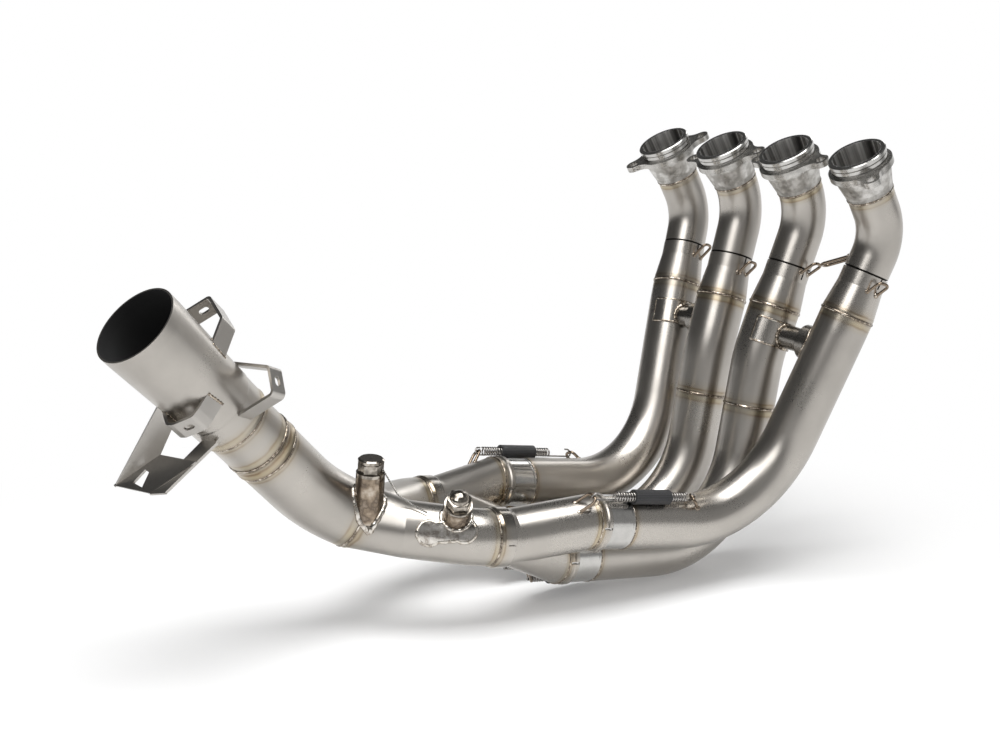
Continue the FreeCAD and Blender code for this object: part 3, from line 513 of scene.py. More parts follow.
def tube_finish(name, welds=(), tone=1.0, roughness=0.30, gap=None):
    """Satin tube metal, clouded, tinted beside each weld, and darkened by painted shade in a slip
    joint's gap.
    """
    finish = Finish(name, TUBE_COLOUR, 1.0, roughness)
    cloud = finish.noise(16.0, 5.0)
    patch = finish.noise(75.0, 3.0)
    grain = finish.noise(1100.0, 2.0)
    light = toned(TUBE_COLOUR, tone)
    colour = finish.clouded(cloud, 0.32, 0.70, light, toned(light, TUBE_DARK))
    patchy = finish.spread(patch, 0.45, 0.75, 0.0, 0.5)
    colour = finish.mix(patchy, colour, toned(light, TUBE_PATCH))
    smooth = finish.grained(cloud, roughness - 0.03, roughness + 0.05)
    finish.rough(finish.math("ADD", smooth, finish.grained(grain, -0.02, 0.03)))
    strength = finish.spread(finish.noise(42.0, 2.0), 0.3, 0.65, 0.45, 0.95) if welds else None
    for point, along, width in welds:
        offset = finish.offset(point)
        wave = finish.math(
            "MULTIPLY_ADD", finish.noise(120.0, 2.0), width * TINT_WAVE, width * TINT_WAVE / -2)
        travel = finish.math("ADD", finish.travel(offset, along), wave)
        spot = finish.math("MULTIPLY_ADD", travel, 0.5 / width, 0.5, clamp=True)
        near = finish.spread(finish.vector("LENGTH", offset), TINT_NEAR, TINT_FAR, 1.0, 0.0)
        tint = finish.mix(1.0, colour, finish.ramp(spot, WELD_TINT), "MULTIPLY")
        colour = finish.mix(near, colour, finish.mix(strength, colour, tint))
    # Painted shade: the tube turns dark from just before the slip joint onward, standing in for the
    # gap's shadow
    if gap:
        point, along = gap
        travel = finish.travel(finish.offset(point), along)
        colour = finish.clouded(travel, -GAP_SHADE_DEPTH, -GAP_SHADE_DEPTH * 0.7, colour, GAP_SHADE_COLOUR)
    finish.colour(colour)
    return finish


def turned_finish(name, point, along):
    """Bright metal with the fine rings that the lathe leaves round an axis."""
    finish = Finish(name, TURNED_COLOUR, 1.0, 0.17)
    rings = finish.noise_along(finish.travel(finish.offset(point), along), 2600.0, 2.0)
    cloud = finish.noise(140.0, 3.0)
    finish.colour(finish.clouded(cloud, 0.35, 0.7, TURNED_COLOUR, toned(TURNED_COLOUR, 0.92)))
    finish.rough(finish.grained(rings, 0.13, 0.25))
    finish.bump(rings, 0.00003, 0.5)
    return finish


def sleeve_finish(number, route):
    """Port sleeve: turned nose, bore painted with light and dark reflection streaks, blasted cone."""
    point, along = route.at(0.0)
    finish = turned_finish(f"port_sleeve_{number}_metal", point, along)
    offset = finish.offset(point)
    travel = finish.travel(offset, along)
    across = finish.across(offset, along)
    behind_nose = finish.spread(travel, NOSE_LENGTH, NOSE_LENGTH + 0.0005, 0.0, 1.0)
    middle = finish.math("MULTIPLY_ADD", travel, SLEEVE_MIDDLE_SLOPE, SLEEVE_MIDDLE_RADIUS)
    cast = finish.math("MULTIPLY", behind_nose, finish.math("GREATER_THAN", across, middle))
    pits = finish.noise(420.0, 4.0)
    flakes = finish.noise(150.0, 4.0)
    blasted = finish.clouded(flakes, 0.35, 0.62, (0.66, 0.645, 0.62), (0.40, 0.385, 0.36))
    side = frame_at(point, along)
    # Painted reflection: streaks of light and dark colour round the bore's axis
    reflection_streaks = finish.noise_along(finish.turn(offset, side.col[1].xyz, side.col[0].xyz), 1.7, 3.0)
    bore = finish.math("LESS_THAN", across, BORE_RADIUS)
    turned_colour = finish.mix(bore, finish.source("Base Color"), finish.ramp(reflection_streaks, BORE_REFLECTION_STREAKS))
    turned_rough = finish.math("MULTIPLY_ADD", bore, 0.22, finish.source("Roughness"))
    finish.colour(finish.mix(cast, turned_colour, blasted))
    pitted = finish.math("MULTIPLY", cast, finish.grained(pits, 0.12, 0.28))
    finish.rough(finish.math("ADD", turned_rough, pitted))
    finish.bump(finish.math("MULTIPLY", pits, cast), 0.0005, 0.6)
    return finish.material


def plug_finish(name):
    """Sensor plugs: bright steel, smoked in patches."""
    finish = Finish(name, (0.60, 0.58, 0.55), 1.0, 0.16)
    cloud = finish.noise(220.0, 3.0)
    finish.colour(finish.clouded(cloud, 0.35, 0.65, (0.46, 0.42, 0.37), (0.20, 0.18, 0.155)))
    finish.rough(finish.grained(cloud, 0.11, 0.24))
    return finish.material


def cast_finish():
    """Flanges: ground metal, a little darker in the hollows."""
    finish = Finish("blasted_metal", (0.50, 0.485, 0.465), 1.0, 0.3)
    cloud = finish.noise(90.0, 4.0)
    grain = finish.noise(1500.0, 2.0)
    finish.colour(finish.clouded(cloud, 0.35, 0.68, (0.56, 0.545, 0.52), (0.36, 0.35, 0.33)))
    finish.rough(finish.grained(grain, 0.22, 0.36))
    finish.bump(cloud, 0.0003, 0.35)
    return finish.material


def boss_finish(name, foot, outward):
    """Boss browned by heat, bright where it is worn, with a pad as light as its pipe."""
    finish = Finish(name, (0.40, 0.34, 0.27), 1.0, 0.2)
    cloud = finish.noise(110.0, 4.0)
    browned = finish.ramp(cloud, BROWNED)
    pad = finish.ramp(finish.noise(190.0, 4.0), PAD_COLOURS)
    across = finish.across(finish.offset(foot), outward)
    finish.colour(finish.clouded(across, PAD_TONE_FROM, PAD_TONE_FULL, browned, pad))
    finish.rough(finish.grained(cloud, 0.13, 0.27))
    finish.bump(finish.noise(260.0, 2.0), 0.0003, 0.4)
    return finish.material


def bracket_finish():
    """Laser-cut sheet, evenly satin."""
    finish = Finish("sheet_metal", (0.46, 0.44, 0.415), 1.0, 0.32)
    cloud = finish.noise(45.0, 3.0)
    grain = finish.noise(1200.0, 2.0, (1.0, 0.2, 1.0))
    finish.colour(finish.mix(cloud, (0.50, 0.48, 0.45), (0.40, 0.38, 0.355)))
    finish.rough(finish.grained(grain, 0.28, 0.34))
    return finish.material


def weld_finish(name, colours):
    """Weld bead: lumpy, brown and grey with bright crests."""
    finish = Finish(name, (0.46, 0.42, 0.37), 1.0, 0.2)
    cloud = finish.noise(300.0, 3.0)
    finish.colour(finish.ramp(cloud, colours))
    finish.rough(finish.grained(cloud, 0.14, 0.28))
    finish.bump(cloud, 0.0002, 0.5)
    return finish.material


def rubber_finish(number):
    """Black sleeve with a fine crossed weave round its spring's axis."""
    finish = Finish(f"black_sleeve_{number}", (0.012, 0.012, 0.013), 0.0, 0.5)
    away, side, along, middle = (column.xyz for column in spring_frame(number).col)
    offset = finish.offset(middle)
    travel = finish.math("MULTIPLY", finish.travel(offset, along), WEAVE_PITCH)
    turn = finish.math("MULTIPLY", finish.turn(offset, side, away), WEAVE_STRANDS)
    one = finish.math("SINE", finish.math("ADD", travel, turn))
    other = finish.math("SINE", finish.math("SUBTRACT", travel, turn))
    weave = finish.spread(finish.math("MULTIPLY", one, other), -0.6, 0.9, 0.0, 1.0)
    finish.colour(finish.mix(weave, (0.008, 0.008, 0.009), (0.060, 0.060, 0.064)))
    finish.bump(weave, 0.0003, 0.8)
    return finish.material


def wire_finish(name, colour):
    """Drawn wire, uneven in tone."""
    finish = Finish(name, colour, 1.0, 0.2)
    grain = finish.noise(500.0, 2.0)
    finish.colour(finish.mix(grain, colour, toned(colour, 0.6)))
    finish.rough(finish.grained(grain, 0.13, 0.27))
    return finish.material


def outlet_finish(welds):
    """Tube metal outside, soot inside the flared mouth."""
    finish = tube_finish("sooty_outlet", welds)
    seam, along = final.at(OUTLET_SEAM)
    offset = finish.offset(seam)
    travel = finish.travel(offset, along)
    across = finish.across(offset, along)
    slope = (MOUTH_RADIUS - COLLAR_RADIUS) / (CONE_END - OUTLET_SEAM)
    skin = finish.math("MULTIPLY_ADD", travel, slope, COLLAR_RADIUS - SOOT_DEPTH)
    skin = finish.math("MINIMUM", skin, MOUTH_RADIUS - SOOT_DEPTH)
    inside = finish.math("LESS_THAN", across, skin)
    finish.colour(finish.mix(inside, finish.source("Base Color"), SOOT_COLOUR))
    finish.feed(finish.shader.inputs["Metallic"], finish.math("SUBTRACT", 1.0, inside))
    sooty = finish.math("MULTIPLY", inside, SOOT_ROUGH)
    finish.rough(finish.math("MAXIMUM", finish.source("Roughness"), sooty))
    return finish.material


def paint(node, material):
    """Give a CAD node a better material."""
    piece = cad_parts[node]
    for slot in piece.material_slots:
        slot.material = material


def paint_tube(node, welds=(), **settings):
    paint(node, tube_finish(f"{node}_metal", welds, **settings).material)


def weld_at(route, distance, width=TINT_WIDTH):
    """Middle, direction and width of the heat tint of a weld."""
    point, along = route.at(distance)
    return point, along, width


def paint_primaries():
    cast = cast_finish()
    for number, route in primaries.items():
        inlet = INLET_AT[number]
        cone = [weld_at(route, CONE_FOOT, CONE_TINT)]
        socket = [weld_at(route, SOCKET_FOOT)]
        seams = socket + [weld_at(route, inlet - SPIGOT_LENGTH, INLET_TINT)]
        if number in (2, 3):
            seams.append(weld_at(route, INNER_SEAM))
        paint(f"port_sleeve_{number}", sleeve_finish(number, route))
        paint(f"port_flange_{number}", cast)
        paint_tube(f"upper_bend_{number}", cone, gap=route.at(SLIP_JOINT))
        paint_tube(f"slip_socket_{number}", socket)
        paint_tube(f"lower_primary_{number}", seams)
        spigot = turned_finish(f"spigot_{number}_metal", *route.at(inlet))
        paint(f"collector_spigot_{number}", spigot.material)
        paint(f"spring_sleeve_{number}", rubber_finish(number))


def paint_collectors():
    for side, numbers in (("left", (1, 2)), ("right", (4, 3))):
        inlets = [weld_at(primaries[n], INLET_AT[n] + INLET_STRAIGHT, INLET_TINT) for n in numbers]
        band_end = [weld_at(secondaries[side], BAND_FOOT, BAND_TINT)]
        smoked = tube_finish(f"balance_{side}_metal", tone=BALANCE_TONE, roughness=BALANCE_ROUGH)
        for part in ("collar", "pipe"):
            paint(f"balance_{part}_{side}", smoked.material)
        paint_tube(f"balance_saddle_{side}", roughness=BALANCE_ROUGH)
        paint_tube(f"collector_{side}", inlets)
        paint_tube(f"secondary_band_{side}", band_end, roughness=BAND_ROUGH)
        paint_tube(f"secondary_pipe_{side}", band_end)


def paint_final_pipe():
    seam = weld_at(final, MERGE_SEAM)
    rings = [weld_at(final, JOINT_RING), weld_at(final, JOINT_RING + JOINT_RING_LENGTH)]
    outlet_seam = weld_at(final, OUTLET_SEAM)
    paint_tube("merge_collector", [seam])
    paint_tube("final_bend", [seam, rings[0]])
    paint_tube("joint_ring", rings)
    paint_tube("outlet_pipe", [rings[1], outlet_seam])
    paint("outlet_mouth", outlet_finish([outlet_seam]))


def paint_fittings():
    bracket = bracket_finish()
    wire = wire_finish("drawn_wire", DRAWN_WIRE)
    for node, place in (("front_sensor_boss", front_boss()), ("rear_sensor_boss", rear_boss())):
        paint(node, boss_finish(f"{node}_metal", *place))
    paint("rear_sensor_plug", plug_finish("rear_plug_metal"))
    for node in ("spring_anchors", "slip_joint_hooks"):
        paint(node, wire)
    for node in ("top_bracket", "lower_bracket", "front_bracket", "stand_bracket"):
        paint(node, bracket)


# Beads, drops and wires that the solids leave out


def round_section(mesh, radius):
    """Ring of corners that a bead or a wire is drawn out from."""
    return bmesh.ops.create_circle(mesh, segments=BEAD_SIDES, radius=radius)["verts"]


def drawn_out(mesh, path, radius, closed=False, flat=1.0, ripple=0.0, pitch=1.0):
    """Draw a round section out along points, each with the way out of the skin under it."""
    frames = []
    travelled = 0.0
    for i, (point, away) in enumerate(path):
        last = i == len(path) - 1
        if closed:
            along = path[(i + 1) % len(path)][0] - path[i - 1][0]
        else:
            along = path[min(i + 1, len(path) - 1)][0] - path[max(i - 1, 0)][0]
        swell = 1 + ripple * math.sin(2 * math.pi * travelled / pitch)
        size = Matrix.Diagonal((flat * swell, swell, 1, 1))
        frames.append(frame_at(point, along, away) @ size)
        if not last:
            travelled += (path[i + 1][0] - point).length
    start = round_section(mesh, radius)
    edges = list({edge for vertex in start for edge in vertex.link_edges})
    bmesh.ops.transform(mesh, verts=start, matrix=frames[0])
    first = edges
    for before, after in zip(frames, frames[1:]):
        made = bmesh.ops.extrude_edge_only(mesh, edges=edges)["geom"]
        edges = [item for item in made if isinstance(item, bmesh.types.BMEdge)]
        ring = [item for item in made if isinstance(item, bmesh.types.BMVert)]
        bmesh.ops.transform(mesh, verts=ring, matrix=after @ before.inverted())
    if closed:
        bmesh.ops.bridge_loops(mesh, edges=first + edges)
    else:
        for loop in (first, edges):
            bmesh.ops.contextual_create(mesh, geom=loop)


def skin_of(*nodes):
    """Trees of the outsides of CAD nodes, to lay beads on."""
    scene_now = bpy.context.evaluated_depsgraph_get()
    return [BVHTree.FromObject(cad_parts[node], scene_now) for node in nodes]


def on_skin(trees, start, way):
    """First point that a line meets on the skins, with the way out of it there."""
    best = None
    for tree in trees:
        hit, normal, _, distance = tree.ray_cast(start, way)
        if hit is not None and (best is None or distance < best[2]):
            best = (hit, normal if normal.dot(way) < 0 else -normal, distance)
    return best and (best[0], best[1])


def laid(trees, rays):
    """Where rays, each a start and a way, first meet the skins."""
    found = [on_skin(trees, start, way) for start, way in rays]
    return [spot for spot in found if spot]


def ring_path(trees, centre, axis, radius, lift=SIGHT_LIFT, steps=96):
    """Points on the skins all round an axis, seen from a lift along it."""
    side = axis.orthogonal().normalized()
    spokes = [Quaternion(axis, 2 * math.pi * i / steps) @ side for i in range(steps)]
    return laid(trees, [(centre + spoke * radius + axis * lift, -axis) for spoke in spokes])


def round_path(route, distance, radius, steps=180):
    """Points all round a tube at a distance along it."""
    point, along = route.at(distance)
    side = frame_at(point, along).col[0].xyz
    spokes = [Quaternion(along, 2 * math.pi * i / steps) @ side for i in range(steps)]
    return [(point + spoke * radius, spoke) for spoke in spokes]


def bead(name, path, size, material, closed=True, ripple=BEAD_RIPPLE):
    """Weld bead of a radius and a ripple pitch along points on the skin."""
    radius, pitch = size
    mesh = bmesh.new()
    drawn_out(mesh, path, radius, closed, BEAD_FLATNESS, ripple, pitch)
    finished(mesh, name, material)


def drops(name, spots, material):
    """Small weld drops at points on the skin."""
    mesh = bmesh.new()
    for i, (point, away) in enumerate(spots):
        size = DROP_RADIUS * (1 + DROP_UNEVEN * math.sin(i * DROP_TURN))
        made = bmesh.ops.create_uvsphere(mesh, u_segments=14, v_segments=8, radius=size)["verts"]
        turn = away.to_track_quat("Z", "Y").to_matrix().to_4x4()
        place = Matrix.Translation(point) @ turn @ Matrix.Diagonal(DROP_SHAPE)
        bmesh.ops.transform(mesh, verts=made, matrix=place)
    finished(mesh, name, material)


# Springs, wires and welds in their places


def spring_frame(number):
    """Matrix of a spring: Z along its tube toward the outlet, X away from the tube."""
    outer = number in (1, 4)
    turn = UPPER_SPRING_TURN if outer else LOWER_SPRING_TURN
    place = frame_at(*primaries[number].at(INLET_AT[number] - SPRING_AHEAD[number]))
    side = 1 if number in (1, 3) else -1
    lift = Matrix.Translation((LOWER_RADIUS + SPRING_LIFT, 0, 0))
    return place @ Matrix.Rotation(side * turn, 4, "Z") @ lift


def anchor_distance(number, behind):
    """Distance along a spring's axis from its middle to the crossbar of an anchor."""
    return SPRING_AHEAD[number] + (ANCHOR_BEHIND_INLET if behind else -ANCHOR_BEFORE_INLET)


def spring_piece(number, material):
    """Wound spring with a drawn-out hook at each end."""
    mesh = bmesh.new()
    section = round_section(mesh, COIL_WIRE / 2)
    bmesh.ops.rotate(mesh, verts=section, cent=(0, 0, 0), matrix=Matrix.Rotation(math.pi / 2, 3, "X"))
    bmesh.ops.translate(mesh, verts=section, vec=(COIL_RADIUS, 0, -COIL_LENGTH / 2))
    turns = round(COIL_LENGTH / COIL_PITCH)
    bmesh.ops.spin(
        mesh, geom=mesh.verts[:] + mesh.edges[:], cent=(0, 0, 0), axis=(0, 0, 1),
        dvec=(0, 0, COIL_PITCH / COIL_STEPS), angle=2 * math.pi * turns, steps=turns * COIL_STEPS)
    bmesh.ops.holes_fill(mesh, edges=mesh.edges, sides=BEAD_SIDES)
    for behind in (True, False):
        side = 1 if behind else -1
        reach = abs(anchor_distance(number, behind)) + (COIL_WIRE + ANCHOR_WIRE) / 2
        corners = [
            (-COIL_RADIUS, side * (COIL_LENGTH / 2 - COIL_OVERLAP)), (-COIL_RADIUS, side * reach),
            (COIL_RADIUS, side * reach), (COIL_RADIUS, side * (reach - COIL_RADIUS - COIL_HOOK_LIP))]
        route = Route([Vector((x, 0, z)) for x, z in corners], [COIL_HOOK_BEND] * 2)
        away = Vector((0, 1, 0))
        drawn_out(mesh, [(point, away) for point in route.points(COIL_HOOK_STEP)], COIL_WIRE / 2)
    bmesh.ops.transform(mesh, verts=mesh.verts, matrix=spring_frame(number))
    piece = finished(mesh, f"wound_spring_{number}", material)
    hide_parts(f"spring_{number}")


def lock_wire_piece(material):
    """Two strands twisted round each other, from one plug to the other."""
    route = Route([PORT_ROW + Vector(corner) for corner in LOCK_WIRE_CORNERS], [LOCK_WIRE_RADIUS] * 2)
    mesh = bmesh.new()
    points = route.points(LOCK_WIRE_STEP)
    for start in (0.0, math.pi):
        path = []
        for i, point in enumerate(points):
            along = (points[min(i + 1, len(points) - 1)] - points[max(i - 1, 0)]).normalized()
            away = frame_at(point, along).col[0].xyz
            away = Quaternion(along, start + i * LOCK_WIRE_TWIST) @ away
            path.append((point + away * STRAND_RADIUS, away))
        drawn_out(mesh, path, STRAND_RADIUS)
    piece = finished(mesh, "twisted_lock_wire", material)
    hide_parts("lock_wire")


def domed_plug(material):
    """Front plug: seat, hexagon and a smooth round crown."""
    foot, outward = front_boss()
    rim = BOSS_RADIUS - PLUG_CHAMFER
    outline = [
        (0.0, -PLUG_STEM), (BOSS_BORE, -PLUG_STEM), (BOSS_BORE, 0.0), (rim, 0.0),
        (BOSS_RADIUS, PLUG_CHAMFER), (BOSS_RADIUS, PLUG_SEAT - PLUG_CHAMFER), (rim, PLUG_SEAT),
        (PLUG_CROWN, PLUG_SEAT), (PLUG_CROWN, PLUG_TOP)]
    for i in range(1, DOME_STEPS + 1):
        turn = math.pi / 2 * i / DOME_STEPS
        outline.append((PLUG_CROWN * math.cos(turn), PLUG_TOP + PLUG_DOME * math.sin(turn)))
    mesh = bmesh.new()
    corners = [mesh.verts.new((radius, 0, rise)) for radius, rise in outline]
    for first, second in zip(corners, corners[1:]):
        mesh.edges.new((first, second))
    bmesh.ops.spin(
        mesh, geom=mesh.verts[:] + mesh.edges[:], cent=(0, 0, 0), axis=(0, 0, 1),
        angle=2 * math.pi, steps=PLUG_STEPS, use_merge=True)
    head = bmesh.ops.create_cone(
        mesh, cap_ends=True, segments=6, radius1=PLUG_HEX, radius2=PLUG_HEX,
        depth=PLUG_TOP - PLUG_SEAT)["verts"]
    bmesh.ops.translate(mesh, verts=head, vec=(0, 0, (PLUG_TOP + PLUG_SEAT) / 2))
    rims = [edge for edge in mesh.edges if edge.verts[0] in head and edge.verts[1] in head]
    bmesh.ops.bevel(
        mesh, geom=rims, offset=HEX_CHAMFER, segments=2, profile=0.5, affect="EDGES", material=-1)
    seat = foot + outward * BOSS_HEIGHT
    bmesh.ops.transform(mesh, verts=mesh.verts, matrix=frame_at(seat, outward))
    piece = finished(mesh, "domed_sensor_plug", material)
    piece.data.set_sharp_from_angle(angle=PLUG_SHARP)
    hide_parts("front_sensor_plug")


def add_springs():
    coil = wire_finish("spring_wire", SPRING_WIRE)
    for number in primaries:
        spring_piece(number, coil)
    lock_wire_piece(wire_finish("lock_wire_strand", LOCK_WIRE))
    domed_plug(plug_finish("domed_plug_metal"))


def leg_drops(place, foot, head, trees):
    """Where the two legs of a wire loop meet the skin, from its head toward its foot."""
    rays = []
    for side in (-LOOP_HALF_WIDTH, LOOP_HALF_WIDTH):
        start = place @ Vector((head[0], side, head[1]))
        stop = place @ Vector((foot[0], side, foot[1]))
        rays.append((start, (stop - start).normalized()))
    return laid(trees, rays)


def add_wire_feet(material):
    """Drops that hold wire loops to the tubes."""
    spots = []
    for number in primaries:
        side = "left" if number in (1, 2) else "right"
        for behind in (True, False):
            root = ANCHOR_ROOT_BEHIND if behind else ANCHOR_ROOT_BEFORE
            reach = ANCHOR_REACH_BEHIND if behind else -ANCHOR_REACH_BEFORE
            depth = SPRING_LIFT + root
            centre = anchor_distance(number, behind)
            foot = (-depth, centre + reach * depth / SPRING_LIFT)
            tube = skin_of(f"collector_{side}" if behind else f"lower_primary_{number}")
            spots += leg_drops(spring_frame(number), foot, (0.0, centre), tube)
    for number, after, turn, node, rise, reach in WIRE_HOOKS:
        place = frame_at(*primaries[number].at(SLIP_JOINT + after))
        place = place @ Matrix.Rotation(-math.radians(turn), 4, "Z")
        head = (UPPER_RADIUS + rise, -reach)
        foot = (UPPER_RADIUS - HOOK_ROOT, HOOK_HEEL)
        spots += leg_drops(place, foot, head, skin_of(f"{node}_{number}"))
    drops("wire_feet_welds", spots, material)


def balance_line(first, second):
    """Start, direction and length between the two tubes that a balance pipe joins."""
    start = primaries[first].at(BALANCE_AT[first])[0]
    reach = primaries[second].at(BALANCE_AT[second])[0] - start
    return start, reach.normalized(), reach.length


def saddle_border(number, across, round_steps=40, side_steps=12):
    """Points along the edges of the sheet that is wrapped round a tube."""
    route = primaries[number]
    half = SADDLE_WIDTH / 2
    skin = LOWER_RADIUS + SADDLE_THICKNESS
    turns = [SADDLE_HALF_WRAP * (2 * i / round_steps - 1) for i in range(round_steps + 1)]
    edge = [(-half, turn) for turn in turns]
    edge += [(half * (2 * i / side_steps - 1), turns[-1]) for i in range(1, side_steps)]
    edge += [(half, turn) for turn in reversed(turns)]
    edge += [(half * (1 - 2 * i / side_steps), turns[0]) for i in range(1, side_steps)]
    path = []
    for shift, turn in edge:
        point, along = route.at(BALANCE_AT[number] + shift)
        spoke = (across - along * along.dot(across)).normalized()
        spoke = Quaternion(along, turn) @ spoke
        path.append((point + spoke * skin, spoke))
    return path


def add_balance_welds(material):
    for side, first, second in (("left", 1, 2), ("right", 3, 4)):
        start, across, reach = balance_line(first, second)
        bead(f"weld_saddle_{side}", saddle_border(first, across), SADDLE_BEAD, material)
        saddle = skin_of(f"balance_saddle_{side}")
        pipe = ring_path(saddle, start, across, BALANCE_RADIUS + PIPE_BEAD_SHIFT, BALANCE_SIGHT_LIFT)
        bead(f"weld_balance_pipe_{side}", pipe, PIPE_BEAD, material)
        tube = skin_of(f"lower_primary_{second}")
        far = start + across * reach
        radius = BALANCE_COLLAR_RADIUS + COLLAR_BEAD_SHIFT
        collar = ring_path(tube, far, -across, radius, BALANCE_SIGHT_LIFT)
        bead(f"weld_balance_collar_{side}", collar, COLLAR_BEAD, material)


def on_secondary(distance, lean):
    """Point on the right secondary's skin, leaned outward from its top, and the way out there."""
    point, along = secondaries["right"].at(distance)
    outward = (frame_at(point, along) @ Matrix.Rotation(-math.radians(lean), 4, "Z")).col[0].xyz
    return point + outward * LOWER_RADIUS, outward


def front_boss():
    return on_secondary(FRONT_BOSS_AT, FRONT_BOSS_LEAN)


def rear_boss():
    return PORT_ROW + Vector(REAR_BOSS_FOOT), Vector(REAR_BOSS_AXIS).normalized()


def pad_border(steps=120):
    """Points round the two-lobed pad of the front boss, on the pipe beside its edge."""
    spots = [on_secondary(distance, lean) for distance, lean in PAD_LOBES]
    out = (spots[0][1] + spots[1][1]).normalized()
    middle = (spots[0][0] + spots[1][0]) / 2
    along = spots[1][0] - spots[0][0]
    half = along.length / 2
    along = (along - out * out.dot(along)).normalized()
    across = out.cross(along)
    rays = []
    for i in range(steps):
        turn = 2 * math.pi * i / steps
        x, y = math.cos(turn), math.sin(turn)
        edge = (PAD_BRIDGE / 2) / max(abs(y), 0.01)
        edge = min(edge, half / max(abs(x), 0.01))
        ahead = half * abs(x)
        beside = PAD_LOBE_RADIUS ** 2 - half ** 2 + ahead ** 2
        if beside > 0:
            edge = max(edge, ahead + math.sqrt(beside))
        start = middle + (along * x + across * y) * (edge + PAD_BEAD_SHIFT) + out * SIGHT_LIFT
        rays.append((start, -out))
    return laid(skin_of("secondary_pipe_right"), rays)


def add_boss_welds(material):
    foot, outward = front_boss()
    skins = skin_of("front_sensor_boss", "secondary_pipe_right")
    front = ring_path(skins, foot, outward, BOSS_RADIUS + BOSS_BEAD_SHIFT)
    bead("weld_front_boss", front, FRONT_BOSS_BEAD, material, ripple=BOSS_RIPPLE)
    bead("weld_boss_pad", pad_border(), PAD_BEAD, material)
    foot, outward = rear_boss()
    skins = skin_of("merge_collector", "final_bend")
    rear = ring_path(skins, foot, outward, BOSS_RADIUS + BOSS_BEAD_SHIFT, REAR_BOSS_SIGHT_LIFT)
    bead("weld_rear_boss", rear, REAR_BOSS_BEAD, material, ripple=BOSS_RIPPLE)


def in_outlet(ahead, height, left):
    """Point at a distance along the final pipe, a height over its axis and a distance to its left."""
    return frame_at(*final.at(MOUTH_END)) @ Vector((height, left, ahead - MOUTH_END))


def foot_bead(name, heads, feet, material, shift):
    """Bead along the foot of a sheet: where lines from two heads to two feet meet the outlet."""
    rays = []
    for i in range(FOOT_POINTS):
        share = i / (FOOT_POINTS - 1)
        start = heads[0].lerp(heads[1], share) + shift
        stop = feet[0].lerp(feet[1], share) + shift
        rays.append((start, (stop - start).normalized()))
    path = laid(skin_of("outlet_mouth", "outlet_pipe"), rays)
    if len(path) >= FOOT_POINTS_LEAST:
        bead(name, path, FOOT_BEAD, material, closed=False, ripple=FOOT_RIPPLE)


def add_bracket_welds(material):
    across = frame_at(*final.at(MOUTH_END)).to_3x3() @ Vector((0, 0, -STRAP_WIDTH))
    for name, station, ends in STRAP_FEET:
        for i, (foot, head) in enumerate(ends):
            head = in_outlet(station, *head)
            foot = in_outlet(station, *foot)
            sheet = (foot - head).cross(across).normalized()
            heads = (head, head + across)
            feet = (foot, foot + across)
            for side in (1, -1):
                shift = sheet * side * (STRAP_THICKNESS / 2 + FOOT_BEAD_SHIFT)
                foot_bead(f"weld_{name}_{i}_{side + 1}", heads, feet, material, shift)


def weld_ring(name, route, distance, radius, width, material):
    """Raised bead round a tube, with the ripples of its weld pool."""
    bead(name, round_path(route, distance, radius), (width, BEAD_PITCH), material)


def add_seams(material):
    for number, route in primaries.items():
        inlet = INLET_AT[number]
        seams = [
            ("cone", CONE_FOOT, UPPER_RADIUS, CONE_BEAD),
            ("socket", SOCKET_FOOT, LOWER_RADIUS, SOCKET_BEAD),
            ("spigot", inlet - SPIGOT_LENGTH, LOWER_RADIUS, SPIGOT_BEAD),
            ("inlet", inlet + INLET_STRAIGHT, LOWER_RADIUS, INLET_BEAD)]
        if number in (2, 3):
            seams.append(("middle", INNER_SEAM, LOWER_RADIUS, MIDDLE_BEAD))
        for seam, distance, radius, width in seams:
            weld_ring(f"weld_{seam}_{number}", route, distance, radius, width, material)
    for side, route in secondaries.items():
        weld_ring(f"weld_band_{side}", route, BAND_BEAD_AT, LOWER_RADIUS, BAND_BEAD, material)
    for seam, distance, radius, width in (
            ("merge", MERGE_SEAM, FINAL_RADIUS, MERGE_BEAD),
            ("joint_front", JOINT_RING, FINAL_RADIUS, JOINT_BEAD),
            ("joint_rear", JOINT_RING + JOINT_RING_LENGTH, FINAL_RADIUS, JOINT_BEAD),
            ("outlet", OUTLET_SEAM, FINAL_RADIUS + OUTLET_BEAD_LIFT, OUTLET_BEAD)):
        weld_ring(f"weld_{seam}", final, distance, radius, width, material)


def add_welds():
    material = weld_finish("weld_bead_metal", SEAM_COLOURS)
    add_seams(material)
    add_wire_feet(material)
    add_balance_welds(material)
    add_boss_welds(weld_finish("boss_weld_metal", BOSS_WELD_COLOURS))
    add_bracket_welds(material)


# Studio


def add_floor():
    """Pale floor that keeps the header's shadow and turns to plain white away from it."""
    mesh = bmesh.new()
    bmesh.ops.create_grid(mesh, x_segments=1, y_segments=1, size=FLOOR_REACH)
    bmesh.ops.translate(mesh, verts=mesh.verts, vec=(0, 0, -FLOOR_GAP))
    finish = Finish("white_floor", (0.80, 0.80, 0.80), 0.0, 1.0)
    finish.shader.inputs["Specular IOR Level"].default_value = 0.0
    path = finish.node("ShaderNodeLightPath").outputs
    seen = finish.math("MAXIMUM", path["Is Camera Ray"], path["Is Glossy Ray"])
    seen = finish.math("MAXIMUM", seen, path["Is Transmission Ray"])
    glow = finish.node("ShaderNodeEmission", None, finish.math("MULTIPLY", seen, FLOOR_GLOW))
    near = finish.node("ShaderNodeAddShader", finish.shader.outputs[0], glow.outputs[0])
    white = finish.node("ShaderNodeEmission")
    away = finish.spread(finish.vector("LENGTH", finish.place), WHITE_FROM, WHITE_AFTER, 0.0, 1.0)
    away = finish.math("MULTIPLY", away, seen)
    shown = finish.node("ShaderNodeMixShader", away, near.outputs[0], white.outputs[0])
    finish.feed(finish.tree.nodes["Material Output"].inputs["Surface"], shown.outputs[0])
    floor = in_scene(mesh, "studio_floor", finish.material)


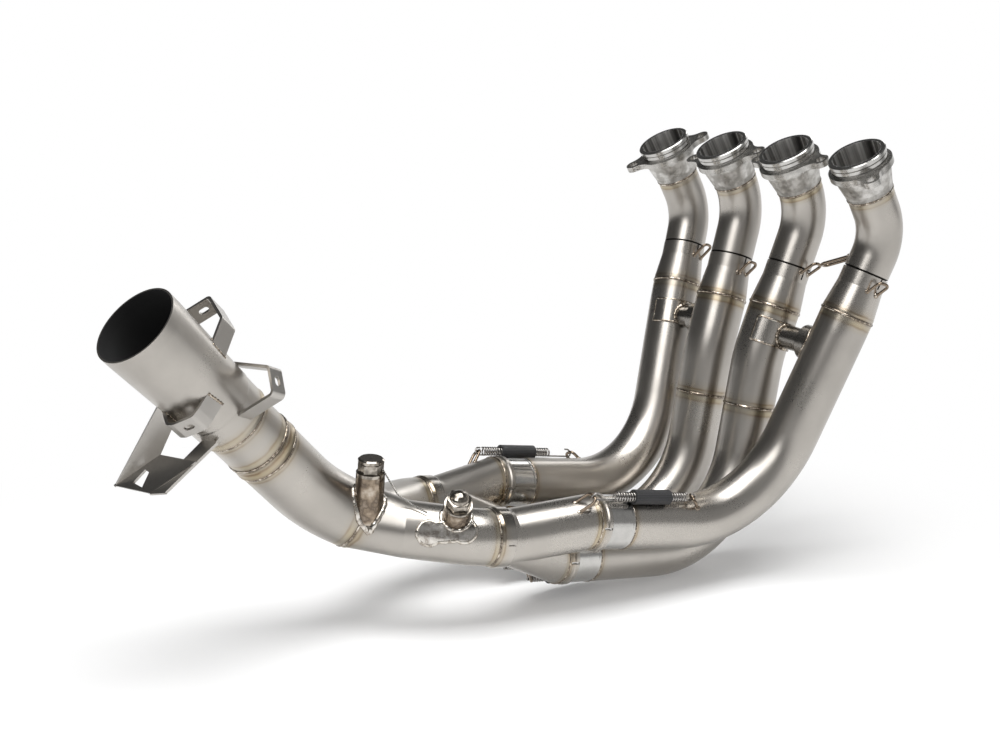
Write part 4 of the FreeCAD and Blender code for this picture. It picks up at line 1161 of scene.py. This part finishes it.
def aimed(azimuth, lift):
    """Direction at a compass angle and an angle above the ground."""
    flat = math.cos(lift)
    return Vector((math.sin(azimuth) * flat, -math.cos(azimuth) * flat, math.sin(lift)))


def add_camera():
    back = aimed(CAMERA_AZIMUTH, CAMERA_ELEVATION)
    right = Vector((math.cos(CAMERA_AZIMUTH), math.sin(CAMERA_AZIMUTH), 0.0))
    up = back.cross(right)
    right = right * math.cos(CAMERA_ROLL) + up * math.sin(CAMERA_ROLL)
    up = back.cross(right)
    data = bpy.data.cameras.new("camera")
    data.lens = CAMERA_LENS
    data.sensor_width = CAMERA_SENSOR
    data.sensor_fit = "HORIZONTAL"
    data.clip_start = 0.05
    data.clip_end = 50.0
    camera = bpy.data.objects.new("camera", data)
    camera.matrix_world = Matrix((
        (right.x, up.x, back.x, CAMERA_PLACE.x), (right.y, up.y, back.y, CAMERA_PLACE.y),
        (right.z, up.z, back.z, CAMERA_PLACE.z), (0, 0, 0, 1)))
    bpy.context.scene.collection.objects.link(camera)
    bpy.context.scene.camera = camera


def softbox(name, turn, height, reach, width, tall, watts):
    """Area lamp at a compass turn from the camera's side and an angle above the ground."""
    aim = aimed(CAMERA_AZIMUTH + math.radians(turn), math.radians(height))
    data = bpy.data.lights.new(name, "AREA")
    data.shape = "RECTANGLE"
    data.size = width
    data.size_y = tall
    data.energy = watts
    lamp = bpy.data.objects.new(name, data)
    lamp.location = HEADER_MIDDLE + aim * reach
    lamp.rotation_euler = aim.to_track_quat("Z", "Y").to_euler()
    bpy.context.scene.collection.objects.link(lamp)


def add_lights():
    for name, settings in SOFTBOXES.items():
        softbox(name, *settings)


class Room(Nodes):
    """World nodes that add up the bright parts of the studio round the header."""

    def __init__(self):
        world = bpy.data.worlds.new("studio_room")
        world.use_nodes = True
        super().__init__(world.node_tree)
        self.background = self.tree.nodes["Background"]
        self.background.inputs["Color"].default_value = (1, 1, 1, 1)
        self.direction = self.node("ShaderNodeTexCoord").outputs["Generated"]
        self.path = self.node("ShaderNodeLightPath").outputs
        bpy.context.scene.world = world

    def toward(self, turn, low, high, level):
        """Light that grows toward a compass turn from the camera's side."""
        way = aimed(CAMERA_AZIMUTH + math.radians(turn), 0.0)
        return self.spread(self.vector("DOT_PRODUCT", self.direction, way), low, high, 0.0, level)

    def height(self, low, high, level):
        """Light that fades from one height to another."""
        parts = self.node("ShaderNodeSeparateXYZ", self.direction)
        return self.spread(parts.outputs["Z"], low, high, level, 0.0)


def add_world():
    """White to the eye, with a sweep behind the header, a grey wall on its right and a dim room."""
    room = Room()
    sweep = room.toward(turn=150, low=0.55, high=0.9, level=SWEEP_BRIGHT)
    sweep = room.math("MULTIPLY", sweep, room.height(low=0.25, high=0.5, level=1.0))
    wall = room.toward(turn=62, low=-0.1, high=0.7, level=WALL_BRIGHT)
    wall = room.math("MULTIPLY", wall, room.height(low=0.5, high=0.9, level=1.0))
    bright = room.math("MAXIMUM", sweep, wall)
    lit = room.spread(bright, 0.0, 1.0, ROOM_DIM, 1.0)
    lit = room.spread(room.path["Is Diffuse Ray"], 0.0, 1.0, lit, ROOM_FILL)
    lit = room.spread(room.path["Is Camera Ray"], 0.0, 1.0, lit, 1.0)
    room.feed(room.background.inputs["Strength"], lit)


paint_primaries()
paint_collectors()
paint_final_pipe()
paint_fittings()
add_springs()
add_welds()
add_floor()
add_camera()
add_lights()
add_world()
bpy.context.scene.view_settings.view_transform = "Standard"
